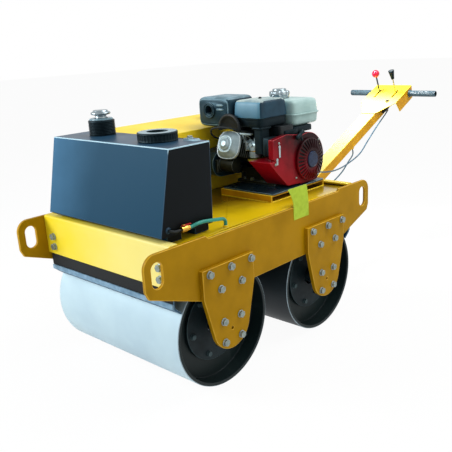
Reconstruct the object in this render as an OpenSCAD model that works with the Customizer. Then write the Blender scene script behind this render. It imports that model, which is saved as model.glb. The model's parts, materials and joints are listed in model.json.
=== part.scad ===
// Walk-behind tandem vibratory roller with two smooth drums.
// X runs along the drum axles, +Y towards the operator's handle, +Z up, in millimetres.
// The modules work from a point on the ground midway between the drums; placed() then
// shifts every piece so that the origin is under the middle of the whole machine.

/* [Drums] */
// Outside diameter of each drum
drum_d = 480; // [460:5:500]
// Length of each drum along its axle
drum_len = 750; // [700:10:800]
// Distance between the two axles
wheelbase = 620; // [600:5:660]
// Wall of the rolled drum shell
shell_t = 14; // [10:1:18]
// Depth from the end of the drum to the face of its hub
hub_recess = 50; // [45:1:60]
// Radius of the bolted hub flange
hub_r = 150; // [140:1:160]
// Thickness of the hub flange
hub_t = 15; // [12:1:18]
// Thickness of the disc welded into each end of the drum
disc_t = 12; // [10:1:16]
// Radius of the hub barrel
barrel_r = 72; // [70:1:78]
// Radius of the hub's bolt circle
hub_bolt_r = 125; // [118:1:130]
// Bolts in each hub flange
hub_bolts = 6; // [5:1:8]
// Outside radius of the drum bearing
bearing_r = 60; // [56:1:62]
// Width of the drum bearing
bearing_w = 28; // [24:1:30]
// Radius of the fixed axle nose
nose_r = 35; // [32:1:38]
// Radius of the exciter shaft's journals
journal_r = 17.5; // [15:0.5:20]
// Radius of the exciter's eccentric weights
weight_r = 90; // [80:1:110]

/* [Frame] */
// Gap between the end of the drum and the side plate
side_gap = 11; // [9:1:16]
// Thickness of the side plates
side_t = 12; // [10:1:14]
// Length of the side plates beyond each axle
plate_overhang = 375; // [360:5:400]
// Height of the ends of the side plates above the axle
plate_end_rise = 382; // [376:1:390]
// Height of the middle of the side plates above the axle
plate_mid_rise = 370; // [364:1:374]
// Height of the lower edge of the side plates above the axle
plate_low_rise = 148; // [140:1:160]
// Radius of the side plates' upper corners
plate_corner_r = 50; // [40:1:60]
// Width of the lifting slot
slot_w = 48; // [40:1:52]
// Height of the lifting slot
slot_h = 92; // [80:1:96]
// Distance from the end of the side plate to the middle of the slot
slot_inset = 55; // [50:1:60]
// Thickness of the leg plates
leg_t = 18; // [14:1:20]
// Half width of a leg plate at its top
leg_half_w = 135; // [133:1:145]
// Height of a leg plate's top above the axle
leg_rise = 265; // [255:1:275]
// Radius of a leg plate's foot
leg_foot_r = 96; // [90:1:100]
// Thickness of the deck, the beams and the pedestal sheet
sheet_t = 8; // [6:1:10]
// Distance from each axle to the outer face of the end beam
beam_reach = 252; // [248:1:260]
// Height of the end beams
beam_h = 161; // [150:1:170]
// Size across the flats of the frame bolts
bolt_af = 24; // [19:1:26]

/* [Tanks] */
// Width of the oil tank across the machine
oil_tank_w = 690; // [660:5:700]
// Height of the oil tank
oil_tank_h = 297; // [280:1:310]
// Depth of the oil tank at its foot
oil_tank_low_d = 250; // [240:1:255]
// Depth of the oil tank at its top
oil_tank_top_d = 194; // [190:1:200]
// Height of the feet under the oil tank
tank_foot_h = 31; // [25:1:40]
// Wall of both tanks
tank_wall = 4; // [3:0.5:5]
// Radius of the oil filler cap
filler_r = 74; // [70:1:76]
// Height of the oil filler cap
filler_h = 34; // [30:1:38]
// Radius of the breather housing
breather_r = 52; // [46:1:56]
// Height of the breather housing
breather_h = 66; // [58:1:70]
// Width of the water tank across the machine
water_tank_w = 255; // [240:1:256]
// Length of the water tank along the machine
water_tank_len = 700; // [660:10:720]
// Height of the water tank along its outer side
water_tank_h = 320; // [300:1:330]
// Drop of the water tank's top towards the engine
water_tank_drop = 30; // [20:1:36]

/* [Engine] */
// Distance of the crankshaft behind the middle of the machine
crank_y = 393; // [390:1:396]
// Height of the crankshaft above the engine's base plate
crank_h = 106; // [104:1:108]
// Height of the engine pedestal with its base plate
pedestal_h = 36; // [34:1:40]
// Tilt of the cylinder above the horizontal
cylinder_tilt = 20; // [19:1:21]
// Radius of the crankshaft
crank_r = 17.5; // [16:0.5:19]
// Radius of the recoil starter's cover
recoil_r = 94; // [90:1:98]
// Radius of the round part of the fan shroud
shroud_r = 118; // [114:1:122]
// Radius of the clutch pulley on the crankshaft
clutch_r = 60; // [56:1:64]
// Radius of the pump pulley
pump_pulley_r = 42; // [40:1:46]

/* [Handle] */
// Slope of the handle arm in its working position
handle_slope = 24.4; // [23:0.1:25]
// Length of the arm from its pivot to the end of the console
handle_len = 1153; // [1100:1:1200]
// Width of the arm's box section
arm_w = 84; // [76:1:92]
// Depth of the arm's box section
arm_d = 53; // [48:1:58]
// Wall of the arm's box section
arm_wall = 4; // [3:0.5:5]
// Width of the control console
console_w = 230; // [220:1:240]
// Length of the control console at its full width
console_len = 202; // [196:1:210]
// Length of the tapered front of the console
console_taper = 126; // [110:1:135]
// Depth of the console's side walls
console_d = 69; // [64:1:74]
// Half length of the handlebar
bar_half = 281; // [270:1:300]
// Radius of the handlebar tube
bar_r = 12.7; // [11:0.1:14]
// Outside radius of the rubber grips
grip_r = 17; // [16:0.5:19]
// Radius of the red ball knob
ball_r = 22; // [18:1:25]

/* [Hidden] */
$fn = 64;
// Overrun of every cut past the face that it opens
cut = 2;
// Clearance of a bolt in its hole
hole_gap = 0.4;
// Clearance of pieces that only sit beside each other
fit = 0.3;
// Clearance of a running fit
run = 0.05;

// Places along Z and Y that the whole machine hangs on
axle_z = drum_d / 2;
axle_y = wheelbase / 2;
plate_in = drum_len / 2 + side_gap;
plate_out = plate_in + side_t;
leg_out = plate_out + leg_t;
plate_half_len = axle_y + plate_overhang;
plate_end_z = axle_z + plate_end_rise;
deck_z = axle_z + plate_mid_rise;
plate_low_z = axle_z + plate_low_rise;
beam_y = axle_y + beam_reach;
beam_top = plate_end_z + side_t / 4;
bolt_r = bolt_af / 3;
hub_face = drum_len / 2 - hub_recess;
disc_face = hub_face - hub_t;

// Side plate outline
step_front = 387;
step_rear = 428;
step_run = 12;
low_flat = 130;
tip_rise = 84;
tip_slope = 13;
tip_side = 28;
slot_drop = 30;
slot_z = plate_end_z - slot_h / 2 - slot_drop;

// Bolt places on a leg, from its axle
leg_bolt_pitch = 110;
leg_bolt_drop = 21;
leg_bolt_up = 26;
leg_bolt_row = leg_rise - leg_bolt_drop;
leg_bolt_row2 = plate_low_rise + leg_bolt_up;
leg_bolt_shift = 8;
leg_bolt_shift2 = 5;
leg_foot_rise = 16;
leg_shoulder = 155;
flange_half_w = 45;
flange_half_h = 42;
flange_pad = 17;
flange_t = 18;
bleed_r = 6;
nose_reach = 30;
nose_end = disc_face - disc_t - nose_reach;
bearing_gap = 10;
hub_lip_gap = 10;
hub_lip_r = nose_r + hub_lip_gap;

// Shift that puts the origin under the middle of the machine
bar_back = 42;
bar_u = handle_len - bar_back;
pivot_back = 38;
pivot_rise = 228;
pivot_y = beam_y + pivot_back;
pivot_z = axle_z + pivot_rise;
bar_v = -1;
bar_y = pivot_y + bar_u * cos(handle_slope) - bar_v * sin(handle_slope);
console_end_y = pivot_y + handle_len * cos(handle_slope) - arm_d / 2 * sin(handle_slope);
console_low_v = arm_d / 2 - console_d;
console_tail = 14;
tail_y = pivot_y + (handle_len - console_tail) * cos(handle_slope)
    - console_low_v * sin(handle_slope);
rear_end = max(bar_y + grip_r, console_end_y, tail_y);
middle_y = (rear_end - plate_half_len) / 2;

// Shared forms

module placed() translate([0, -middle_y, 0]) children();

// Outline in Y and Z, drawn from x0 to x1
module slab_x(x0, x1) translate([x0, 0, 0]) rotate([90, 0, 90]) linear_extrude(x1 - x0) children();

// Outline in X and Z, drawn from y0 to y1
module slab_y(y0, y1) translate([0, y1, 0]) rotate([90, 0, 0]) linear_extrude(y1 - y0) children();

module rod_x(r, x0, x1, y, z) translate([x0, y, z]) rotate([0, 90, 0]) cylinder(r = r, h = x1 - x0);

module rod_y(r, y0, y1, x, z) translate([x, y1, z]) rotate([90, 0, 0]) cylinder(r = r, h = y1 - y0);

module rod_z(r, z0, z1, x, y) translate([x, y, z0]) cylinder(r = r, h = z1 - z0);

module block(x0, x1, y0, y1, z0, z1) translate([x0, y0, z0]) cube([x1 - x0, y1 - y0, z1 - z0]);

// Rectangle with round corners, from two opposite corners
module rounded(x0, y0, x1, y1, r) {
    translate([x0 + r, y0]) square([x1 - x0 - 2 * r, y1 - y0]);
    translate([x0, y0 + r]) square([x1 - x0, y1 - y0 - 2 * r]);
    for (x = [x0 + r, x1 - r], y = [y0 + r, y1 - r]) translate([x, y]) circle(r);
}

// Block with round upright edges
module soft_block(x0, x1, y0, y1, z0, z1, r)
    translate([0, 0, z0]) linear_extrude(z1 - z0) rounded(x0, y0, x1, y1, r);

// Hexagon bolt along -Z with its head standing on z = 0
module hex_bolt(r, af, grip) {
    washer_t = af / 8;
    cylinder(r = af * 0.62, h = washer_t);
    translate([0, 0, washer_t]) cylinder(d = af / cos(30), h = af * 0.42, $fn = 6);
    translate([0, 0, -grip]) cylinder(r = r, h = grip + washer_t);
}

// Hexagon bolt through a face at x = face, pointing out along X on the side s
module bolt_x(s, face, y, z, grip, af)
    translate([s * face, y, z]) rotate([0, 90 * s, 0]) hex_bolt(af / 3, af, grip);

module both_sides() for (s = [-1, 1]) scale([s, 1, 1]) children();

// Ring of a tube's cross-section at point p, square to direction d
function unit(v) = v / norm(v);
function side_of(d) = unit(abs(d[2]) > 0.9 * norm(d) ? cross(d, [1, 0, 0]) : cross(d, [0, 0, 1]));
function tube_ring(p, d, r, n) = let (s = side_of(d), t = unit(cross(d, s)))
    [for (i = [0:n - 1]) p + r * (cos(360 * i / n) * s + sin(360 * i / n) * t)];
// Smooth curve through the route's points
function bend(a, b, c, d, t) = 0.5 * (2 * b + (c - a) * t + (2 * a - 5 * b + 4 * c - d) * t * t
    + (3 * b - a - 3 * c + d) * t * t * t);
function route_point(p, i, t) = bend(p[max(i - 1, 0)], p[i], p[i + 1],
    p[min(i + 2, len(p) - 1)], t);
function smooth_route(p, steps) = [for (i = [0:len(p) - 2], k = [0:steps - 1])
    route_point(p, i, k / steps), p[len(p) - 1]];

// Plain tube of radius r along a route
module hose(route, r, sides, steps) {
    c = smooth_route(route, steps);
    m = len(c);
    rings = [for (i = [0:m - 1])
        tube_ring(c[i], c[min(i + 1, m - 1)] - c[max(i - 1, 0)], r, sides)];
    points = [for (g = rings) for (q = g) q];
    start = [for (i = [0:sides - 1]) i];
    finish = [for (i = [sides - 1:-1:0]) (m - 1) * sides + i];
    walls = [for (k = [0:m - 2], i = [0:sides - 1]) let (j = (i + 1) % sides)
        [k * sides + i, (k + 1) * sides + i, (k + 1) * sides + j, k * sides + j]];
    polyhedron(points, concat([start], walls, [finish]), convexity = 10);
}

// Frame

// Outline of a side plate in Y and Z
module side_outline() {
    end_y = plate_half_len;
    top = plate_end_z;
    r = plate_corner_r;
    difference() {
        union() {
            polygon([
                [-end_y + r, top], [-step_front - step_run, top], [-step_front, deck_z],
                [step_rear, deck_z], [step_rear + step_run, top], [end_y - r, top],
                [end_y, top - r], [end_y, plate_low_z + tip_rise + tip_side],
                [end_y - tip_slope, plate_low_z + tip_rise],
                [axle_y + low_flat, plate_low_z], [-axle_y - low_flat, plate_low_z],
                [-end_y + tip_slope, plate_low_z + tip_rise],
                [-end_y, plate_low_z + tip_rise + tip_side], [-end_y, top - r]
            ]);
            for (s = [-1, 1]) translate([s * (end_y - r), top - r]) circle(r);
        }
        for (s = [-1, 1]) translate([s * (end_y - slot_inset), slot_z])
            rounded(-slot_w / 2, -slot_h / 2, slot_w / 2, slot_h / 2, slot_w / 2 - run);
    }
}

// Places of the bolts that hold a leg to the side plate, from the axle
function leg_bolt_places() = concat(
    [for (k = [-1:1]) [leg_bolt_shift + k * leg_bolt_pitch, leg_bolt_row]],
    [for (k = [-1, 1]) [leg_bolt_shift2 + k * leg_bolt_pitch / 2, leg_bolt_row2]]);
function flange_bolt_places() = [for (a = [-1, 1], b = [-1, 1]) [a * flange_half_w, b * flange_half_h]];

beam_bolt_inset = 56;
beam_bolt_x = plate_in - beam_bolt_inset;
beam_bolt_drop = [85, 128];
lug_w = 96;
lug_t = 12;
lug_edge = 16;
lug_low = beam_top - beam_bolt_drop[1] - lug_edge;
lug_top = beam_top - beam_bolt_drop[0] + 3 * lug_edge;

module side_plate(s) color("goldenrod") scale([s, 1, 1]) {
    difference() {
        slab_x(plate_in, plate_out) side_outline();
        for (y = [-axle_y, axle_y], p = leg_bolt_places())
            rod_x(bolt_r + hole_gap, plate_in - cut, plate_out + cut, y + p[0], axle_z + p[1]);
    }
    for (e = [-1, 1]) scale([1, e, 1]) difference() {
        block(plate_in - lug_w, plate_in, beam_y - sheet_t - lug_t, beam_y - sheet_t,
            lug_low, lug_top);
        for (d = beam_bolt_drop)
            rod_y(bolt_r + hole_gap, beam_y - sheet_t - lug_t - cut, beam_y, beam_bolt_x, beam_top - d);
    }
}

module right_side_plate() side_plate(1);
module left_side_plate() side_plate(-1);

lip_d = 40;
deck_bend = 10;

// End beam with its upper edge folded inwards
module end_beam() {
    half = plate_in - fit;
    difference() {
        union() {
            block(-half, half, beam_y - sheet_t, beam_y, beam_top - beam_h, beam_top - deck_bend);
            block(-half, half, beam_y - lip_d, beam_y - deck_bend, beam_top - sheet_t, beam_top);
            slab_x(-half, half) intersection() {
                difference() {
                    translate([beam_y - deck_bend, beam_top - deck_bend]) circle(deck_bend);
                    translate([beam_y - deck_bend, beam_top - deck_bend]) circle(deck_bend - sheet_t);
                }
                translate([beam_y - deck_bend, beam_top - deck_bend]) square(deck_bend);
            }
        }
        for (x = [-beam_bolt_x, beam_bolt_x], d = beam_bolt_drop)
            rod_y(bolt_r + hole_gap, beam_y - sheet_t - cut, beam_y + cut, x, beam_top - d);
    }
}

module front_beam() color("gold") scale([1, -1, 1]) end_beam();

ear_t = 12;
ear_r = 38;
pin_r = 12.5;
ear_in = arm_w / 2 + fit;
stop_bar_r = 5;
stop_bar_u = 8;
drive_gland_x = 72;
drive_gland_rise = 300;
drive_gland_z = axle_z + drive_gland_rise;

// Rear beam with the handle's ears, the bar that the arm rests on, and the drive cable's gland
module rear_beam() color("gold") {
    end_beam();
    rod_y(gland_r, beam_y, beam_y + gland_h, drive_gland_x, drive_gland_z);
    both_sides() difference() {
        union() {
            slab_x(ear_in, ear_in + ear_t)
                translate([beam_y, pivot_z - ear_r]) square([pivot_back, 2 * ear_r]);
            rod_x(ear_r, ear_in, ear_in + ear_t, pivot_y, pivot_z);
        }
        rod_x(pin_r + run, ear_in - cut, ear_in + ear_t + cut, pivot_y, pivot_z);
    }
    on_handle() rod_x(stop_bar_r, -ear_in - ear_t, ear_in + ear_t, stop_bar_u,
        -arm_d / 2 - stop_bar_r - fit);
}

gland_r = 10;
gland_h = 10;
drain_inset = 30;
drain_x = plate_in - drain_inset;
drain_back = 56;
drain_y = axle_y - drain_back;

// Deck between the side plates, with the drain hose's socket
module deck_plate() color("gold") {
    block(-plate_in + fit, plate_in - fit, -beam_y + sheet_t + fit, beam_y - sheet_t - fit,
        deck_z - sheet_t, deck_z);
    rod_z(gland_r, deck_z - sheet_t, deck_z + gland_h, drain_x, -drain_y);
}

// Leg plate outline from its axle: shoulders, then straight flanks down to a round foot
module leg_outline() {
    rise = leg_shoulder - leg_foot_rise;
    reach = norm([leg_half_w, rise]);
    a = atan2(rise, leg_half_w) - acos(leg_foot_r / reach);
    foot = [leg_foot_r * cos(a), leg_foot_rise + leg_foot_r * sin(a)];
    polygon([
        [-leg_half_w, leg_rise], [leg_half_w, leg_rise], [leg_half_w, leg_shoulder], foot,
        [0, leg_foot_rise], [-foot[0], foot[1]], [-leg_half_w, leg_shoulder]
    ]);
    translate([0, leg_foot_rise]) circle(leg_foot_r);
}

module leg_plates() color("goldenrod")
    both_sides() for (y = [-axle_y, axle_y]) difference() {
        slab_x(plate_out, leg_out) translate([y, axle_z]) leg_outline();
        for (p = concat(leg_bolt_places(), flange_bolt_places()))
            rod_x(bolt_r + hole_gap, plate_out - cut, leg_out + cut, y + p[0], axle_z + p[1]);
        rod_x(bleed_r, plate_out - cut, leg_out + cut, y, axle_z);
    }

module frame_bolts() color("silver") {
    for (s = [-1, 1], y = [-axle_y, axle_y]) {
        for (p = leg_bolt_places())
            bolt_x(s, leg_out, y + p[0], axle_z + p[1], leg_t + side_t, bolt_af);
        for (p = flange_bolt_places())
            bolt_x(s, leg_out, y + p[0], axle_z + p[1], leg_t + flange_t - cut, bolt_af);
    }
    for (e = [-1, 1], x = [-beam_bolt_x, beam_bolt_x], d = beam_bolt_drop)
        translate([x, e * beam_y, beam_top - d]) rotate([-90 * e, 0, 0])
            hex_bolt(bolt_r, bolt_af, sheet_t + lug_t);
    for (x = foot_bolt_xs, y = foot_bolt_ys)
        translate([x, crank_y + y, base_z + foot_t]) hex_bolt(foot_bolt_r, foot_bolt_af, foot_t + base_t);
}

// Fixed axle nose on its flange, bored for the exciter's journal
module axle_housings() color("dimgray")
    both_sides() for (y = [-axle_y, axle_y]) difference() {
        union() {
            block(plate_out - flange_t, plate_out, y - flange_half_w - flange_pad,
                y + flange_half_w + flange_pad, axle_z - flange_half_h - flange_pad,
                axle_z + flange_half_h + flange_pad);
            rod_x(nose_r, nose_end, plate_out - flange_t, y, axle_z);
        }
        for (p = flange_bolt_places())
            rod_x(bolt_r + hole_gap, plate_out - flange_t - cut, plate_out + cut, y + p[0], axle_z + p[1]);
        rod_x(journal_r + run, nose_end - cut, disc_face, y, axle_z);
    }

bearing_x = disc_face - bearing_gap - bearing_w;

module drum_bearings() color("lightsteelblue")
    both_sides() for (y = [-axle_y, axle_y]) difference() {
        rod_x(bearing_r, bearing_x, bearing_x + bearing_w, y, axle_z);
        rod_x(nose_r + run, bearing_x - cut, bearing_x + bearing_w + cut, y, axle_z);
    }

// Drums

module drum_at(y) difference() {
    union() {
        difference() {
            rod_x(drum_d / 2, -drum_len / 2, drum_len / 2, y, axle_z);
            rod_x(drum_d / 2 - shell_t, -drum_len / 2 - cut, drum_len / 2 + cut, y, axle_z);
        }
        both_sides() rod_x(drum_d / 2 - shell_t, disc_face - disc_t, disc_face, y, axle_z);
    }
    rod_x(barrel_r + fit, -drum_len / 2, drum_len / 2, y, axle_z);
    both_sides() for (i = [0:hub_bolts - 1])
        rod_x(hub_bolt_hole_r, disc_face - disc_t - cut, disc_face + cut,
            y + hub_bolt_r * cos(hub_bolt_start + 360 * i / hub_bolts),
            axle_z + hub_bolt_r * sin(hub_bolt_start + 360 * i / hub_bolts));
}

hub_bolt_af = 19;
hub_bolt_hole_r = hub_bolt_af / 3 + hole_gap;
hub_bolt_start = 7;
barrel_tail = 34;

module front_drum() color("gainsboro") drum_at(-axle_y);
module rear_drum() color("gainsboro") drum_at(axle_y);

// Bolted hubs that hold the outer races of the drum bearings
module hubs_at(y) both_sides() difference() {
    union() {
        rod_x(hub_r, disc_face, hub_face, y, axle_z);
        rod_x(barrel_r, disc_face - disc_t - barrel_tail, disc_face + run, y, axle_z);
    }
    rod_x(hub_lip_r, disc_face - disc_t - barrel_tail - cut, hub_face + cut, y, axle_z);
    rod_x(bearing_r + run, disc_face - disc_t - barrel_tail - cut, bearing_x + bearing_w + fit, y, axle_z);
    for (i = [0:hub_bolts - 1])
        rod_x(hub_bolt_hole_r, disc_face - cut, hub_face + cut,
            y + hub_bolt_r * cos(hub_bolt_start + 360 * i / hub_bolts),
            axle_z + hub_bolt_r * sin(hub_bolt_start + 360 * i / hub_bolts));
}

module front_drum_hubs() color("darkslategray") hubs_at(-axle_y);
module rear_drum_hubs() color("darkslategray") hubs_at(axle_y);

module hub_bolts_at(y) for (s = [-1, 1], i = [0:hub_bolts - 1])
    bolt_x(s, hub_face, y + hub_bolt_r * cos(hub_bolt_start + 360 * i / hub_bolts),
        axle_z + hub_bolt_r * sin(hub_bolt_start + 360 * i / hub_bolts), hub_t + disc_t, hub_bolt_af);

module front_hub_bolts() color("slategray") hub_bolts_at(-axle_y);
module rear_hub_bolts() color("slategray") hub_bolts_at(axle_y);

shaft_r = 25;
shaft_gap = 6;
weight_gap = 60;
weight_clear = 44;
weight_len = disc_face - disc_t - barrel_tail - weight_gap - weight_clear;

// Exciter shaft with two eccentric half-round weights
module exciter_at(y) {
    rod_x(shaft_r, -nose_end + shaft_gap, nose_end - shaft_gap, y, axle_z);
    rod_x(journal_r, -disc_face + shaft_gap, disc_face - shaft_gap, y, axle_z);
    both_sides() intersection() {
        rod_x(weight_r, weight_gap, weight_gap + weight_len, y, axle_z);
        block(0, drum_len, y - weight_r, y + weight_r, axle_z - weight_r, axle_z);
    }
}

module front_exciter() color("gray") exciter_at(-axle_y);
module rear_exciter() color("gray") exciter_at(axle_y);

scraper_gap = 3;
scraper_rise = 126;
scraper_under = 3;
scraper_h = beam_top - beam_h - scraper_under - plate_low_z;
scraper_t = 6;
scraper_hang_w = 40;
scraper_hang_inset = 41;
scraper_hang_x = plate_in - scraper_hang_inset;

// Angle bar whose blade stops just short of the drum, hung from the end beam
module scraper() {
    tip_y = axle_y + sqrt(pow(drum_d / 2 + scraper_gap, 2) - pow(scraper_rise, 2));
    tip_z = axle_z + scraper_rise;
    bar_z = plate_low_z;
    face = beam_y - sheet_t - fit;
    half = drum_len / 2;
    slab_x(-half, half) polygon([
        [tip_y, tip_z], [face - scraper_t, bar_z + scraper_t], [face - scraper_t, bar_z + scraper_h],
        [face, bar_z + scraper_h], [face, bar_z], [tip_y + scraper_t, tip_z - scraper_t / 2]
    ]);
    both_sides() block(scraper_hang_x - scraper_hang_w / 2, scraper_hang_x + scraper_hang_w / 2,
        face - scraper_t, face, bar_z + scraper_t, lug_low - fit);
}

module drum_scrapers() color("steelblue") {
    scraper();
    scale([1, -1, 1]) scraper();
}

// Tanks

oil_inset = 6;
oil_setback = 66;
oil_front = -beam_y + oil_inset;
oil_rear = oil_front + oil_tank_low_d;
oil_z = deck_z + tank_foot_h;
oil_top = oil_z + oil_tank_h;
filler_x = 160;
filler_back = 180;
filler_y = oil_front + filler_back;
breather_x = -187;
breather_back = 191;
breather_y = oil_front + breather_back;
neck_r = 40;
neck_h = 12;
neck_wall = 4;
outlet_r = 7;

module oil_outline(wall)
    polygon([
        [oil_front + wall, oil_z + wall], [oil_rear - wall, oil_z + wall],
        [oil_front + oil_setback + oil_tank_top_d - wall, oil_top - wall],
        [oil_front + oil_setback + wall, oil_top - wall]
    ]);

// Neck in which a cap's spigot turns
module neck(r, x, y, z) difference() {
    rod_z(r, z - tank_wall, z + neck_h, x, y);
    rod_z(r - neck_wall, z - tank_wall - cut, z + neck_h + cut, x, y);
}

module oil_tank() color("darkslategray") {
    difference() {
        slab_x(-oil_tank_w / 2, oil_tank_w / 2) oil_outline(0);
        slab_x(-oil_tank_w / 2 + tank_wall, oil_tank_w / 2 - tank_wall) oil_outline(tank_wall);
        rod_z(neck_r - neck_wall, oil_top - tank_wall - cut, oil_top + cut, filler_x, filler_y);
        rod_z(breather_pipe_r + run, oil_top - tank_wall - cut, oil_top + cut, breather_x, breather_y);
        rod_x(outlet_r + run, oil_tank_w / 2 - tank_wall - cut, oil_tank_w / 2 + cut, valve_y, valve_z);
    }
    neck(neck_r, filler_x, filler_y, oil_top);
    rod_x(vent_r, oil_tank_w / 2, oil_tank_w / 2 + vent_t, vent_y, vent_z);
    for (x = [-foot_x, foot_x], y = foot_ys)
        block(x - foot_half, x + foot_half, y - foot_half, y + foot_half, deck_z, oil_z);
    soft_block(lug_x, lug_x + lug_len, lug_y - lug_plate_w / 2, lug_y + lug_plate_w / 2, oil_top,
        oil_top + lug_plate_t, lug_plate_w / 3);
    translate([lug_x + lug_len * 0.4, lug_y, oil_top + lug_plate_t])
        cylinder(d = lug_nut_af / cos(30), h = lug_nut_af / 2, $fn = 6);
}

foot_inset = 96;
foot_x = plate_in - foot_inset;
foot_backs = [76, 211];
foot_ys = [for (d = foot_backs) oil_front + d];
foot_half = 35;
lug_gap = 2;
lug_len = 66;
lug_plate_w = 30;
lug_x = filler_x + filler_r + lug_gap;
lug_y = oil_front + oil_setback + oil_tank_top_d - lug_plate_w / 2 - lug_gap;
lug_plate_t = 6;
lug_nut_af = 17;
breather_pipe_r = 14;
valve_back = 94;
valve_rise = 16;
valve_y = oil_front + valve_back;
valve_z = oil_z + valve_rise;
vent_r = 8;
vent_t = 3;
vent_back = 34;
vent_rise = 23;
vent_y = oil_front + vent_back;
vent_z = oil_z + vent_rise;

// Breather housing with a ribbed waist; its pipe hangs into the tank
module breather_body() color("black") difference() {
    union() {
        rod_z(breather_r, oil_top, oil_top + breather_h * 0.9, breather_x, breather_y);
        rod_z(breather_r * 0.88, oil_top, oil_top + breather_h, breather_x, breather_y);
        rod_z(breather_pipe_r, oil_top - tank_wall, oil_top + breather_h, breather_x, breather_y);
    }
    rod_z(breather_stem_r + run, oil_top + breather_h / 2, oil_top + breather_h + cut, breather_x, breather_y);
}

breather_stem_r = 10;
breather_cap_r = 39;
breather_cap_h = 22;
breather_cap_gap = 10;

module breather_cap() color("silver") translate([breather_x, breather_y, oil_top + breather_h]) {
    translate([0, 0, -breather_h / 3]) cylinder(r = breather_stem_r, h = breather_h / 3 + breather_cap_gap + cut);
    translate([0, 0, fit]) cylinder(r = breather_cap_r * 0.6, h = breather_cap_gap - fit);
    translate([0, 0, breather_cap_gap]) rotate_extrude() polygon([
        [0, 0], [breather_cap_r * 0.6, 0], [breather_cap_r, breather_cap_h * 0.25],
        [breather_cap_r, breather_cap_h * 0.6], [breather_cap_r * 0.75, breather_cap_h],
        [0, breather_cap_h]
    ]);
}

// Ring-shaped screw cap with a sunk middle
module filler_cap() color("black") translate([filler_x, filler_y, oil_top]) difference() {
    translate([0, 0, fit]) cylinder(r = filler_r, h = filler_h - fit);
    translate([0, 0, filler_h * 0.6]) cylinder(r = filler_r * 0.5, h = filler_h);
    translate([0, 0, -cut]) cylinder(r = neck_r + fit, h = cut + neck_h + fit);
}

water_gap = 26;
water_front = oil_rear + water_gap;
water_x1 = -plate_in + fit;
water_x0 = water_x1 + water_tank_w;
water_top = deck_z + water_tank_h;
water_cap_r = 42;
water_cap_h = 26;
water_neck_r = 32;
water_cap_x = (water_x0 + water_x1) / 2;
water_cap_y = water_front + water_tank_len * 0.86;
water_neck_z = water_top - water_tank_drop * 0.6;

module water_outline(wall)
    polygon([
        [water_x1 + wall, deck_z + wall], [water_x0 - wall, deck_z + wall],
        [water_x0 - wall, water_top - water_tank_drop - wall],
        [water_x1 + wall, water_top - wall]
    ]);

// Sprinkling water tank with a sloping top and an upright filler neck
module water_tank() color("gold") {
    difference() {
        union() {
            slab_y(water_front, water_front + water_tank_len) water_outline(0);
            rod_z(water_neck_r, water_neck_z - water_tank_drop, water_neck_z + water_tank_drop,
                water_cap_x, water_cap_y);
        }
        slab_y(water_front + tank_wall, water_front + water_tank_len - tank_wall) water_outline(tank_wall);
        rod_z(water_neck_r - neck_wall, water_neck_z - 2 * water_tank_drop,
            water_neck_z + 2 * water_tank_drop, water_cap_x, water_cap_y);
    }
}

module water_tank_cap() color("black")
    translate([water_cap_x, water_cap_y, water_neck_z + water_tank_drop + fit]) {
        cylinder(r = water_cap_r, h = water_cap_h);
        translate([0, 0, -neck_h]) difference() {
            cylinder(r = water_cap_r * 0.94, h = neck_h);
            translate([0, 0, -cut]) cylinder(r = water_neck_r + fit, h = neck_h + cut);
        }
    }

valve_body_r = 11;
valve_len = 26;
valve_reach = 12;
valve_nut_af = 19;

// Brass valve screwed into the tank, turned back along its side
module hose_valve() color("peru") difference() {
    x = oil_tank_w / 2;
    union() {
        rod_x(outlet_r, x - tank_wall, x + valve_reach, valve_y, valve_z);
        rod_y(valve_body_r, valve_y - valve_len / 2, valve_y + valve_len / 2, x + valve_reach, valve_z);
        translate([x + valve_reach, valve_y + valve_len, valve_z]) rotate([90, 0, 0])
            cylinder(d = valve_nut_af, h = valve_len / 2 + fit, $fn = 6);
        rod_z(outlet_r * 0.7, valve_z, valve_z + valve_body_r + valve_stem, x + valve_reach, valve_y);
    }
    rod_y(outlet_r * 0.5, valve_y, valve_y + 2 * valve_len, x + valve_reach, valve_z);
    rod_x(outlet_r * 0.5, x - tank_wall - cut, x + valve_reach, valve_y, valve_z);
}

valve_stem = 6;
valve_lever_len = 34;
valve_lever_w = 8;
valve_lever_t = 3;

module valve_lever() color("firebrick") difference() {
    z = valve_z + valve_body_r + fit;
    x = oil_tank_w / 2 + valve_reach;
    union() {
        rod_z(valve_lever_w, z, z + valve_lever_t, x, valve_y);
        block(x - valve_lever_w / 2, x + valve_lever_w / 2, valve_y, valve_y + valve_lever_len,
            z, z + valve_lever_t);
    }
    rod_z(outlet_r * 0.7 + run, z - cut, z + valve_lever_t + cut, x, valve_y);
}

// Routes of the hoses and cables, chosen by hand
drain_route = [[357, -435.7, 657], [357, -430, 657], [357, -424, 657], [361, -400, 662], [364, -370, 663],
    [366, -335, 659], [366, -300, 654], [361, -272, 648], [357, -258, 640], [356, -254, 632],
    [356, -254, 626], [356, -254, 620.3]];
loop_route = [[348.3, -522, 664], [352, -522, 664], [356, -522, 664], [362, -514, 661], [361, -500, 658],
    [357, -486, 657], [357, -481, 657], [357, -475.3, 657]];
lead_route = [[-50.3, 174.3, 853], [-56, 174.3, 853], [-62, 174.3, 853], [-72, 150, 862], [-62, 118, 885],
    [-30, 96, 908], [20, 92, 918], [66, 104, 914], [100, 140, 900], [118, 200, 892], [150, 262, 894],
    [190, 292, 898], [208, 299, 894], [215, 300, 888], [215, 300, 883], [215, 300, 878.3]];
throttle_route = [[50, 1480, 842], [54, 1440, 820], [64, 1330, 765], [78, 1215, 705], [100, 1090, 650],
    [130, 925, 626], [160, 795, 624], [182, 690, 632], [190, 600, 646], [188, 540, 660],
    [186, 512, 666], [186, 502, 666], [186, 492.3, 666]];
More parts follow.
